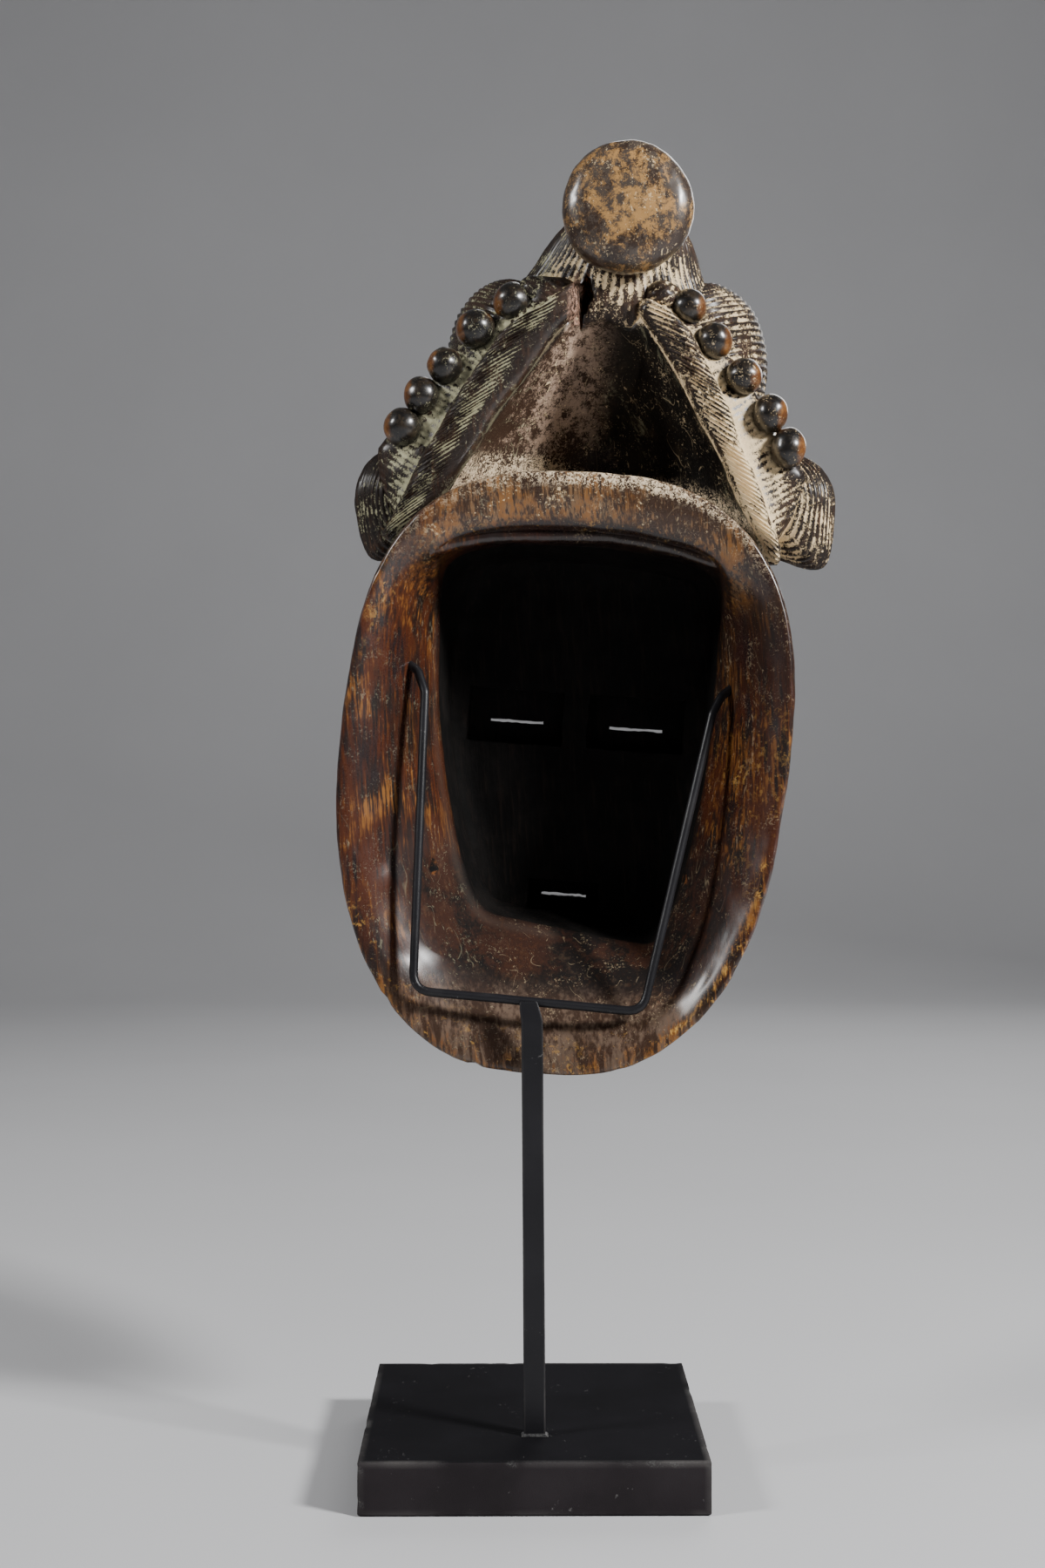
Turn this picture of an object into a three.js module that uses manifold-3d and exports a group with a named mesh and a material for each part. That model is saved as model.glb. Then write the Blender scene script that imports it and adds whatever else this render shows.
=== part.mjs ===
// A carved wooden mask with a lobed, striated headdress, held by its back on a small black metal stand.
// Millimetres. x runs right seen from behind the mask, y runs towards the carved face, z runs up.
// The origin is the centre of the plinth's underside.
import * as THREE from "three";
import { mergeVertices } from "three/addons/utils/BufferGeometryUtils.js";
import Module from "manifold-3d";

const wasm = await Module();
wasm.setup();

const degrees = Math.PI / 180;

// The stand
const plinth = { side: 150, height: 22.5, edge: 0.8 };
const bar = {
  width: 9.5,
  thickness: 3.2,
  chamfer: 0.4,
  backY: -40.4,
  footX: 0.5,
  beadSpread: 1.2,
  beadHeight: 1.2,
  bendX: -0.7,
  bendZ: 205,
  tipX: -2.2,
  tipY: -38.1,
  tipZ: 213.5,
  tipWidth: 7.9,
};
const wire = { radius: 2, sides: 8, corner: 9, bend: 5, grip: 9, slack: 0.35 };
const wireBottomY = -33.5;

// The mask's own frame: its origin is the middle of the rim, its x-z plane holds the rim
const maskPlace = new THREE.Vector3(14.8, -34, 328.5);
const maskRoll = 4.2 * degrees;
const maskYaw = -4 * degrees;

// The rim round the open back, seen from behind
const rim = { halfWidth: 100, top: 119.6, bottom: 149.6, topPower: 2.7, bottomPower: 2.5 };
const rimLean = { shift: -1.3, slope: 0.016 };
// The edge of the deep hollow, where the bevelled funnel ends
const pit = { leftTop: 66, leftTaper: 27, rightTop: 65, rightTaper: 14, taperFrom: 60, taperOver: 140 };
const pitTop = { height: 91, droop: 9 };
const pitBottom = { depth: 86.5, slant: 0.12 };
const pitCorner = 11;
const funnel = { depth: 45, power: 1.6 };
const visor = { fromZ: 72, toZ: 97, roll: 7, undercut: 31, undercutPower: 20 };
const floorY = 78;
// The least wood between the hollow's floor and the carved face
const leastWall = 4;
// The oval of the carved face
const face = { halfWidth: 77, top: 136, bottom: 140, power: 2.2, edgeY: 60, crown: 41, crownPower: 3.6 };
// The face is laid out by thirds: hairline to brow, brow to nose, nose to chin
const hairline = 104;
const third = 76;
const brow = hairline - third;
const noseBase = brow - third;
const mouth = noseBase - third / 3;
const eye = { x: 29, z: brow - 0.22 * third, halfWidth: 15.5, halfHeight: 10, height: 7 };
const slit = { eyeWidth: 26, mouthWidth: 22, height: 1.6 };
const recess = { eyeWidth: 46, eyeHeight: 26, mouthWidth: 34, mouthHeight: 15, depth: 10 };

// The headdress
const arms = { topZ: 196, innerTopZ: 193, inner: 20, innerSpread: 64, outer: 32, outerSpread: 57, drop: 107 };
const armLeftIn = 8;
const armForm = {
  topZ: 199,
  footZ: 89,
  height: 7.5,
  slant: 5,
  squareness: 0.7,
  overlap: 1.5,
  tail: 0.45,
  notches: 14,
  section: 8,
  ridge: 1.06,
  groove: 0.84,
};
const armY = 24;
const niche = { mouthY: 12, floorY: 72, centreX: 8, footZ: 92, topZ: 189, apexZ: 196 };
const bed = { top: 36, spread: 62, topZ: 203, widestZ: 128, tuck: 20 };
const capFootZ = 84;
const capArchZ = 110;
const bosses = [
  { x: 40, z: 200.4, r: 7.6, tall: 1 },
  { x: 52.5, z: 185.5, r: 8.4, tall: 1 },
  { x: 66.6, z: 170.2, r: 8.4, tall: 1 },
  { x: 79.9, z: 154.1, r: 8, tall: 1.15 },
  { x: 88.8, z: 139.3, r: 7.8, tall: 1.2 },
  { x: -41.5, z: 198, r: 7.4, tall: 1 },
  { x: -56.5, z: 184.5, r: 9, tall: 1 },
  { x: -69.2, z: 167.1, r: 8.4, tall: 1 },
  { x: -79, z: 153, r: 8.2, tall: 1.05 },
  { x: -86.6, z: 137.8, r: 8.2, tall: 1.05 },
];
const bossY = 25;
const lobes = [
  { x: 49, rx: 30, rz: 42, drop: 0 },
  { x: -44, rx: 27, rz: 36, drop: 3 },
];
const lobeForm = { y: 60, z: 177, back: 36, front: 44, tilt: 20 * degrees, ridges: 12, around: 18 };
const buns = {
  right: { x: 91, y: 52, z: 116.5, rx: 23.5, ry: 22, rz: 24, tipX: 112, tipZ: 88 },
  left: { x: -88, y: 52, z: 108.5, rx: 22, ry: 22, rz: 24, tipX: -99, tipZ: 82 },
};
const bunRidges = 6;
const knob = { x: 9.2, z: 240.5, radius: 29.7, faceY: 0 };

const wood = new THREE.MeshStandardMaterial({ color: 0x4a2e1b, roughness: 0.5, metalness: 0 });
const blackBoard = new THREE.MeshStandardMaterial({ color: 0x111112, roughness: 0.6, metalness: 0 });
const blackSteel = new THREE.MeshStandardMaterial({ color: 0x18191b, roughness: 0.45, metalness: 0.3 });

const mix = (a, b, t) => a + (b - a) * t;
const clamp01 = (t) => Math.min(1, Math.max(0, t));
const ease = (t) => clamp01(t) ** 2 * (3 - 2 * clamp01(t));
const range = (n) => Array.from({ length: n }, (_, i) => i);

// Geometry helpers

// A closed body through rings of equal point count, with a middle point closing each end.
function loft(rings) {
  const around = rings[0].length;
  const middle = (ring) => ring.reduce((s, p) => s.add(p), new THREE.Vector3()).divideScalar(around);
  const points = [...rings.flat(), middle(rings[0]), middle(rings.at(-1))];
  const first = points.length - 2;
  const last = points.length - 1;
  const faces = [];
  for (const i of range(around)) {
    const j = (i + 1) % around;
    faces.push([first, j, i]);
    for (const r of range(rings.length - 1)) {
      const low = r * around;
      const high = low + around;
      faces.push([low + i, low + j, high + j], [low + i, high + j, high + i]);
    }
    const low = (rings.length - 1) * around;
    faces.push([last, low + i, low + j]);
  }
  const volume = faces.reduce((sum, [a, b, c]) => {
    return sum + points[a].dot(new THREE.Vector3().crossVectors(points[b], points[c]));
  }, 0);
  const outward = volume < 0 ? faces.map(([a, b, c]) => [a, c, b]) : faces;
  const geometry = new THREE.BufferGeometry().setFromPoints(points);
  geometry.setIndex(outward.flat());
  return geometry;
}

function solidOf(geometry) {
  const bare = new THREE.BufferGeometry().setAttribute("position", geometry.getAttribute("position"));
  bare.setIndex(geometry.index);
  const merged = mergeVertices(bare, 1e-4);
  const vertProperties = new Float32Array(merged.getAttribute("position").array);
  const triVerts = new Uint32Array(merged.index.array);
  return new wasm.Manifold(new wasm.Mesh({ numProp: 3, vertProperties, triVerts }));
}

function geometryOf(solid) {
  const mesh = solid.getMesh();
  const geometry = new THREE.BufferGeometry();
  geometry.setAttribute("position", new THREE.BufferAttribute(mesh.vertProperties, 3));
  geometry.setIndex(new THREE.BufferAttribute(mesh.triVerts, 1));
  geometry.computeVertexNormals();
  return geometry;
}

function named(name, geometry, material) {
  const mesh = new THREE.Mesh(geometry, material);
  mesh.name = name;
  return mesh;
}

// A tube round a run of points, its section carried along without twist.
function tube(path, radius, sides) {
  const side = new THREE.Vector3(0, 1, 0);
  const rings = path.map((centre, i) => {
    const before = path[Math.max(0, i - 1)];
    const after = path[Math.min(path.length - 1, i + 1)];
    const along = after.clone().sub(before).normalize();
    side.addScaledVector(along, -side.dot(along)).normalize();
    const other = new THREE.Vector3().crossVectors(along, side);
    return range(sides).map((k) => {
      const angle = (2 * Math.PI * k) / sides;
      return centre
        .clone()
        .addScaledVector(side, radius * Math.cos(angle))
        .addScaledVector(other, radius * Math.sin(angle));
    });
  });
  return loft(rings);
}

// Straight runs between corner points, each corner rounded by its own radius.
function roundedPath(corners, radii, steps = 3) {
  const path = [corners[0]];
  for (const i of range(corners.length - 2)) {
    const corner = corners[i + 1];
    const back = corners[i].clone().sub(corner);
    const on = corners[i + 2].clone().sub(corner);
    const halfTurn = (Math.PI - back.angleTo(on)) / 2;
    const reachBack = Math.min(radii[i] * Math.tan(halfTurn), 0.45 * Math.min(back.length(), on.length()));
    const start = corner.clone().addScaledVector(back.normalize(), reachBack);
    const end = corner.clone().addScaledVector(on.normalize(), reachBack);
    const curve = new THREE.QuadraticBezierCurve3(start, corner, end);
    path.push(...curve.getPoints(steps));
  }
  path.push(corners.at(-1));
  return path;
}

function ellipsoid(centre, radii, around, along) {
  const geometry = new THREE.SphereGeometry(1, around, along);
  geometry.rotateX(Math.PI / 2);
  geometry.scale(...radii);
  geometry.translate(...centre);
  return solidOf(geometry);
}

function block(centre, size) {
  return solidOf(new THREE.BoxGeometry(...size).translate(...centre));
}

// Outlines of the mask seen from behind, each a level that is 1 on the line

function rimLevel(x, z) {
  const height = z >= 0 ? rim.top : rim.bottom;
  const power = z >= 0 ? rim.topPower : rim.bottomPower;
  const across = x - rimLean.shift - rimLean.slope * z;
  return (Math.abs(across / rim.halfWidth) ** power + Math.abs(z / height) ** power) ** (1 / power);
}

function pitLevel(x, z) {
  const taper = clamp01((pit.taperFrom - z) / pit.taperOver);
  const left = pit.leftTop - pit.leftTaper * taper ** 2;
  const right = pit.rightTop - pit.rightTaper * taper ** 3;
  const width = x < 0 ? left : right;
  const top = pitTop.height - pitTop.droop * Math.min(1, Math.abs(x) / pit.leftTop) ** 2;
  const bottom = pitBottom.depth + pitBottom.slant * x;
  const height = z >= 0 ? top : bottom;
  return (Math.abs(x / width) ** pitCorner + Math.abs(z / height) ** pitCorner) ** (1 / pitCorner);
}

function faceLevel(x, z) {
  const height = z >= 0 ? face.top : face.bottom;
  const { halfWidth, power } = face;
  return (Math.abs(x / halfWidth) ** power + Math.abs(z / height) ** power) ** (1 / power);
}

// The point of an outline in a direction, found by halving.
function outlinePoint(level, angle) {
  let near = 1;
  let far = 220;
  for (let i = 0; i < 40; i++) {
    const middle = (near + far) / 2;
    if (level(middle * Math.cos(angle), middle * Math.sin(angle)) < 1) near = middle;
    else far = middle;
  }
  return new THREE.Vector2(near * Math.cos(angle), near * Math.sin(angle));
}

const faceDepth = (level) => face.edgeY + face.crown * (1 - level ** face.crownPower);
const faceY = (x, z) => faceDepth(Math.min(1, faceLevel(x, z)));

// The hollow body: face outside, rim, bevelled funnel, pit and floor in one closed surface
function maskBody() {
  const around = 40;
  const angles = range(around).map((i) => {
    const turn = (2 * Math.PI * i) / around;
    return Math.atan2(1.25 * Math.sin(turn), Math.cos(turn));
  });
  const rims = angles.map((a) => outlinePoint(rimLevel, a));
  const pits = angles.map((a) => outlinePoint(pitLevel, a));
  const faces = angles.map((a) => outlinePoint(faceLevel, a));
  const ring = (at) => range(around).map((i) => at(faces[i], rims[i], pits[i]));
  const front = [0.3, 0.55, 0.75, 0.88, 1].map((k) => {
    return ring((f) => new THREE.Vector3(k * f.x, faceDepth(k), k * f.y));
  });
  const sides = [[0.4, 44], [0.75, 26], [0.96, 10], [1, 4]].map(([s, y]) => {
    return ring((f, r) => new THREE.Vector3(mix(f.x, r.x, s), y, mix(f.y, r.y, s)));
  });
  const edge = ring((f, r) => new THREE.Vector3(0.982 * r.x, 0, 0.985 * r.y));
  const bevel = [0.25, 0.45, 0.65, 0.85, 1].map((t) => {
    return ring((f, r, p) => {
      const share = ease((r.y - visor.fromZ) / (visor.toZ - visor.fromZ));
      const overhang = visor.roll * t ** 2 + visor.undercut * t ** visor.undercutPower;
      const depth = mix(funnel.depth * t ** funnel.power, overhang, share);
      return new THREE.Vector3(mix(0.982 * r.x, p.x, t), depth, mix(0.985 * r.y, p.y, t));
    });
  });
  const walls = [[0.98, 62], [0.95, 74], [0.88, floorY], [0.4, floorY]].map(([s, y]) => {
    return ring((f, r, p) => {
      const deepest = faceY(s * p.x, s * p.y) - leastWall;
      return new THREE.Vector3(s * p.x, Math.min(y, deepest), s * p.y);
    });
  });
  return solidOf(loft([...front, ...sides, edge, ...bevel, ...walls]));
}

// The arms that frame the niche: how far out their edges lie at a height, the left one reaching further in
const armInner = (z, side) => {
  const spread = arms.innerSpread * clamp01((arms.innerTopZ - z) / arms.drop) ** 0.88;
  return arms.inner + spread - (side < 0 ? armLeftIn : 0);
};
const armOuter = (z) => arms.outer + arms.outerSpread * clamp01((arms.topZ - z) / arms.drop) ** 0.78;

// The bed of hair that carries the bosses reaches a little past their middles, then tucks in to the rim
function bedEdge(z) {
  const spread = bed.spread * clamp01((bed.topZ - z) / (bed.topZ - bed.widestZ)) ** 0.75;
  const tuck = bed.tuck * clamp01((bed.widestZ - z) / (bed.widestZ - capFootZ)) ** 2;
  return bed.top + spread - tuck;
}

// A closed outline from the foot, up one side by its edge, over the top and down the other
function capOutline(edge, y, top) {
  const steps = 9;
  const right = range(steps).map((i) => {
    const z = mix(capFootZ, arms.topZ, i / (steps - 1));
    return new THREE.Vector3(edge(z), y, z);
  });
  const crown = [0.6, 0, -0.6].map((u) => {
    const lift = (top - arms.topZ) * Math.sqrt(1 - u * u);
    return new THREE.Vector3(u * edge(arms.topZ), y, arms.topZ + lift);
  });
  const left = right.toReversed().map((p) => new THREE.Vector3(-p.x, y, p.z));
  const foot = [-0.5, 0, 0.5].map((u) => new THREE.Vector3(u * edge(capFootZ), y, capArchZ));
  return [...right, ...crown, ...left, ...foot];
}

function headdressBlock() {
  const back = [[20, 0, 205], [24, 0.25, 206], [30, 1, 209], [62, 1, 209]].map(([y, share, top]) => {
    return capOutline((z) => mix(armOuter(z), bedEdge(z), share), y, top);
  });
  const front = [[80, 0.9], [92, 0.7], [100, 0.44], [104, 0.16]].map(([y, scale]) => {
    const middle = new THREE.Vector3(0, 0, hairline + 34);
    return capOutline(bedEdge, 0, 209).map((p) => p.sub(middle).multiplyScalar(scale).add(middle).setY(y));
  });
  return solidOf(loft([...back, ...front]));
}

// The niche between the arms narrows as it goes in, down to the top of the rim
function nicheCut() {
  const steps = 7;
  const depths = [[niche.mouthY, 1], [armY, 0.99], [44, 0.78], [60, 0.55], [niche.floorY, 0.3]];
  const rings = depths.map(([y, s]) => {
    const edge = (side) => range(steps).map((i) => {
      const z = mix(niche.footZ, niche.topZ, i / (steps - 1));
      return [side * armInner(z, side), z];
    });
    const foot = range(5).map((i) => {
      const x = mix(-0.8, 0.8, i / 4) * armInner(niche.footZ, i < 2 ? -1 : 1);
      const arch = rim.top * (1 - Math.abs(x / rim.halfWidth) ** rim.topPower) ** (1 / rim.topPower);
      return [x, arch + 1];
    });
    const apex = [[0, niche.apexZ]];
    const outline = [...edge(1), ...apex, ...edge(-1).toReversed(), ...foot];
    return outline.map(([x, z]) => {
      return new THREE.Vector3(mix(niche.centreX, x, s), y, mix(128, z, s ** 0.6));
    });
  });
  return solidOf(loft(rings));
}

// One striated arm: a low rounded band along the niche, notched by grooves that fall outwards
function arm(side) {
  const { notches, section, height, slant, squareness } = armForm;
  const rings = range(2 * notches + 1).map((i) => {
    const down = i / (2 * notches);
    const swell = i % 2 ? armForm.ridge : armForm.groove;
    const taper = 1 - armForm.tail * ease((down - 0.8) / 0.2);
    return range(section).map((k) => {
      const angle = (2 * Math.PI * (k + 0.5)) / section;
      const across = taper * Math.sign(Math.cos(angle)) * Math.abs(Math.cos(angle)) ** squareness;
      const z = mix(armForm.topZ, armForm.footZ, down);
      const middle = (armInner(z, side) + armOuter(z)) / 2;
      const half = (armOuter(z) - armInner(z, side)) / 2 + armForm.overlap;
      return new THREE.Vector3(
        side * (middle + half * across),
        armY - height * taper * swell * Math.sin(angle),
        z - (slant + 0.4 * half) * across,
      );
    });
  });
  return solidOf(loft(rings));
}

// How far the combed hair droops towards the hairline
const droop = (y) => 43 * clamp01((y - 52) / 52) ** 2.2;

// A side lobe of combed hair: ridges ringed about an upright axis that leans to the crest
function lobe({ x, rx, rz, drop }) {
  const { ridges, around, tilt } = lobeForm;
  const lean = Math.sign(x) * tilt;
  const rings = range(2 * ridges).map((j) => {
    const polar = (Math.PI * (j + 0.7)) / (2 * ridges + 0.4);
    const swell = j % 2 ? 0.965 : 1.015;
    return range(around).map((i) => {
      const angle = (2 * Math.PI * i) / around;
      const p = new THREE.Vector3().setFromSphericalCoords(swell, polar, angle);
      p.applyAxisAngle(new THREE.Vector3(0, 0, 1), lean);
      const y = lobeForm.y + p.z * (p.z < 0 ? lobeForm.back : lobeForm.front);
      const inward = x * mix(0.86, 1, Math.sqrt(1 - Math.min(1, p.z * p.z)));
      return new THREE.Vector3(inward + rx * p.x, y, lobeForm.z - drop + rz * p.y - droop(y));
    });
  });
  return solidOf(loft(rings));
}

// A shell-like bun at the temple: ridges ringed about its inner side, with a pointed lower tip
function bun({ x, y, z, rx, ry, rz, tipX, tipZ }) {
  const around = 12;
  const side = Math.sign(x);
  const axis = new THREE.Vector3(-side * 0.5, -0.86, 0).normalize();
  const across = new THREE.Vector3(side * 0.86, -0.5, 0);
  const up = new THREE.Vector3(0, 0, 1);
  const tip = new THREE.Vector2(tipX - x, tipZ - z);
  const toTip = tip.angle();
  const rings = range(2 * bunRidges).map((j) => {
    const tilt = (Math.PI * (j + 0.8)) / (2 * bunRidges + 0.6);
    const swell = j % 2 ? 1.02 : 0.95;
    return range(around).map((i) => {
      const angle = (2 * Math.PI * i) / around;
      const u = swell * Math.sin(tilt) * Math.cos(angle);
      const v = swell * Math.sin(tilt) * Math.sin(angle);
      const seen = Math.atan2(v * rz, side * u * rx);
      const point = Math.max(0, Math.cos(seen - toTip)) ** 8 * Math.sin(tilt) ** 4;
      const p = new THREE.Vector3()
        .addScaledVector(axis, ry * swell * Math.cos(tilt))
        .addScaledVector(across, rx * u)
        .addScaledVector(up, rz * v);
      p.x += x + 0.3 * point * tip.x;
      p.y += y;
      p.z += z + 0.3 * point * tip.y;
      return p;
    });
  });
  return solidOf(loft(rings));
}

// The domed disc that ends the crest at the back
function knobDisc() {
  const profile = [[0, 0], [0.5, 0.6], [0.82, 2.6], [0.96, 7], [1, 12], [0.95, 18], [0.8, 23], [0, 27]];
  const outline = profile.map(([r, y]) => new THREE.Vector2(r * knob.radius, knob.faceY + y));
  const geometry = new THREE.LatheGeometry(outline, 22);
  geometry.translate(knob.x, 0, knob.z);
  return solidOf(geometry);
}

// The crest: a fluted tress from the hairline over the head, swelling into the disc
function crest() {
  const around = 20;
  const stations = [
    { x: 1, y: 93, z: 108, across: 10, deep: 6 },
    { x: 4, y: 102, z: 150, across: 15, deep: 11 },
    { x: 6, y: 93, z: 188, across: 20, deep: 17 },
    { x: 7, y: 72, z: 214, across: 28, deep: 22 },
    { x: 8, y: 48, z: 230, across: 28, deep: 24 },
    { x: 9.2, y: 22, z: 239, across: 24, deep: 24 },
  ];
  const rings = stations.map((s, j) => {
    const before = stations[Math.max(0, j - 1)];
    const after = stations[Math.min(stations.length - 1, j + 1)];
    const slope = Math.atan2(after.z - before.z, after.y - before.y);
    return range(around).map((i) => {
      const angle = (2 * Math.PI * i) / around;
      const swell = i % 2 ? 1.03 : 0.96;
      const lift = s.deep * swell * Math.sin(angle);
      const out = s.across * swell * Math.cos(angle);
      return new THREE.Vector3(s.x + out, s.y - lift * Math.sin(slope), s.z + lift * Math.cos(slope));
    });
  });
  return solidOf(loft(rings));
}

// The flared, lengthwise combed neck under the disc
function neck() {
  const around = 28;
  const levels = [
    { x: 3, y: 60, z: 194, rx: 54, ry: 38 },
    { x: 5, y: 52, z: 217, rx: 41.5, ry: 31 },
    { x: 8, y: 44, z: 236, rx: 30, ry: 25 },
    { x: 9.2, y: 40, z: 250, rx: 17, ry: 17 },
  ];
  const rings = levels.map((s) => {
    return range(around).map((i) => {
      const angle = (2 * Math.PI * i) / around;
      const swell = i % 2 ? 1.01 : 0.97;
      const [across, deep] = [s.rx * swell * Math.cos(angle), s.ry * swell * Math.sin(angle)];
      return new THREE.Vector3(s.x + across, s.y + deep, s.z);
    });
  });
  return solidOf(loft(rings));
}

// Features of the face

function nose() {
  const rings = range(8).map((j) => {
    const down = j / 7;
    const z = mix(brow + 4, noseBase, down);
    const half = mix(4.5, 8, down) + 5 * ease((down - 0.72) / 0.28);
    const height = mix(3, 17, down ** 1.2);
    return range(8).map((k) => {
      const angle = (2 * Math.PI * k) / 8;
      return new THREE.Vector3(half * Math.cos(angle), faceY(0, z) + height * Math.sin(angle), z);
    });
  });
  return solidOf(loft(rings));
}

function browRidge(side) {
  const path = range(8).map((i) => {
    const out = i / 7;
    const x = mix(5, 56, out);
    const z = brow + 9 * Math.sin(Math.PI * (0.18 + 0.72 * out)) - 6 * out;
    return new THREE.Vector3(side * x, faceY(x, z) + 0.4, z);
  });
  return solidOf(tube(path, 2.6, 6));
}

function ear(side) {
  const path = range(7).map((i) => {
    const angle = (-100 + (i * 215) / 6) * degrees;
    const out = 85 + 5 * Math.cos(angle);
    return new THREE.Vector3(side * out, 50 - 9 * Math.cos(angle), 2 + 24 * Math.sin(angle));
  });
  return solidOf(tube(path, 5.5, 6));
}

// A notched band across the forehead at the hairline
function forelockBand() {
  const path = range(17).map((i) => {
    const x = mix(-70, 70, i / 16);
    const z = hairline - 16 * (x / 70) ** 2;
    return new THREE.Vector3(x, faceY(x, z) + (i % 2 ? 1.2 : 0.2), z);
  });
  return solidOf(tube(path, 4.5, 5));
}

// The place of one point of the stand in the mask's own frame
const maskMatrix = new THREE.Matrix4()
  .makeRotationFromEuler(new THREE.Euler(0, maskRoll, maskYaw, "ZYX"))
  .setPosition(maskPlace);
const intoMask = maskMatrix.clone().invert();

// The cradle's corner points, from inside the left wall, down, across and up into the right wall
function cradleCorners() {
  const leftHole = new THREE.Vector3(-52.2, -8.3, 360.7);
  const rightHole = new THREE.Vector3(85.4, -11.3, 348.7);
  const leftEnd = leftHole.clone().addScaledVector(new THREE.Vector3(-0.62, 0.62, 0.48), wire.grip);
  const rightEnd = rightHole.clone().addScaledVector(new THREE.Vector3(0.62, 0.62, 0.48), wire.grip);
  return [
    leftEnd,
    leftHole,
    new THREE.Vector3(-48.8, -13, 350.6),
    new THREE.Vector3(-53.4, wireBottomY, 217.8),
    new THREE.Vector3(48.4, wireBottomY - 0.5, 208.2),
    new THREE.Vector3(81.2, -14, 340.7),
    rightHole,
    rightEnd,
  ];
}
const cradleRadii = [wire.bend, wire.bend, wire.corner, wire.corner, wire.bend, wire.bend];

function hookHole(corners) {
  const [end, hole] = corners;
  const away = end.clone().sub(hole).normalize();
  const path = [...corners.toReversed(), end.clone().addScaledVector(away, 0.6)];
  const local = path.map((p) => p.clone().applyMatrix4(intoMask));
  return solidOf(tube(local, wire.radius + wire.slack, wire.sides));
}

function maskSolid() {
  let solid = maskBody().add(headdressBlock());
  for (const side of lobes) solid = solid.add(lobe(side));
  solid = solid.add(neck()).add(crest()).add(knobDisc());
  solid = solid.add(bun(buns.right)).add(bun(buns.left));
  solid = solid.subtract(nicheCut());
  for (const side of [-1, 1]) {
    solid = solid.add(arm(side));
    const lid = [eye.halfWidth, eye.height, eye.halfHeight];
    solid = solid.add(ellipsoid([side * eye.x, faceY(eye.x, eye.z), eye.z], lid, 14, 6));
    solid = solid.add(browRidge(side)).add(ear(side));
    solid = solid.subtract(block([side * eye.x, 92, eye.z - 2], [slit.eyeWidth, 60, slit.height]));
    const pocket = [recess.eyeWidth, 2 * recess.depth, recess.eyeHeight];
    solid = solid.subtract(block([side * eye.x, floorY, eye.z], pocket));
  }
  for (const { x, z, r, tall } of bosses) {
    solid = solid.add(ellipsoid([x, bossY, z], [r, 1.05 * r, tall * r], 8, 6));
  }
  solid = solid.add(nose()).add(forelockBand());
  solid = solid.add(ellipsoid([0, faceY(0, mouth + 3.4), mouth + 3.4], [15, 6.5, 4], 12, 6));
  solid = solid.add(ellipsoid([0, faceY(0, mouth - 3.6), mouth - 3.6], [13, 6, 4.2], 12, 6));
  solid = solid.subtract(block([0, 92, mouth], [slit.mouthWidth, 60, slit.height]));
  const mouthPocket = [recess.mouthWidth, 2 * recess.depth, recess.mouthHeight];
  solid = solid.subtract(block([0, floorY, mouth], mouthPocket));
  const corners = cradleCorners();
  solid = solid.subtract(hookHole(corners.slice(0, 3)));
  return solid.subtract(hookHole(corners.toReversed().slice(0, 3)));
}

// The stand's pieces

function plinthGeometry() {
  const half = plinth.side / 2 - plinth.edge;
  const square = new THREE.Shape();
  square.moveTo(-half, -half);
  square.lineTo(half, -half);
  square.lineTo(half, half);
  square.lineTo(-half, half);
  const geometry = new THREE.ExtrudeGeometry(square, {
    depth: plinth.height - 2 * plinth.edge,
    bevelThickness: plinth.edge,
    bevelSize: plinth.edge,
    bevelSegments: 2,
  });
  return geometry.translate(0, 0, plinth.edge);
}

function uprightGeometry() {
  const middleY = bar.backY + bar.thickness / 2;
  const ring = (x, y, z, width, thickness) => {
    const w = width / 2;
    const t = thickness / 2;
    const c = bar.chamfer;
    const right = [[w - c, -t], [w, c - t], [w, t - c], [w - c, t]];
    const left = right.toReversed().map(([u, v]) => [-u, v]);
    return [...right, ...left].map(([u, v]) => new THREE.Vector3(x + u, y + v, z));
  };
  const foot = plinth.height;
  const wide = bar.width + bar.beadSpread;
  const thick = bar.thickness + bar.beadSpread;
  return loft([
    ring(bar.footX, middleY, foot, wide, thick),
    ring(bar.footX, middleY, foot + 0.5 * bar.beadHeight, wide, thick),
    ring(bar.footX, middleY, foot + bar.beadHeight, bar.width, bar.thickness),
    ring(bar.bendX, middleY, bar.bendZ, bar.width, bar.thickness),
    ring(mix(bar.bendX, bar.tipX, 0.6), mix(middleY, bar.tipY, 0.4), 210, 8.9, 2.8),
    ring(bar.tipX, bar.tipY, bar.tipZ, bar.tipWidth, 2.2),
  ]);
}

const maskMesh = named("mask", geometryOf(maskSolid()), wood);
maskMesh.rotation.set(0, maskRoll, maskYaw, "ZYX");
maskMesh.position.copy(maskPlace);

const part = new THREE.Group();
part.add(maskMesh);
part.add(named("stand_plinth", plinthGeometry(), blackBoard));
part.add(named("stand_upright", uprightGeometry(), blackSteel));
const cradle = tube(roundedPath(cradleCorners(), cradleRadii), wire.radius, wire.sides);
part.add(named("stand_cradle", cradle, blackSteel));

export default part;
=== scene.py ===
import math
from contextlib import contextmanager
from types import SimpleNamespace

import bpy
import numpy as np
from mathutils import Matrix, Vector
from mathutils.bvhtree import BVHTree
from mathutils.kdtree import KDTree


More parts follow.
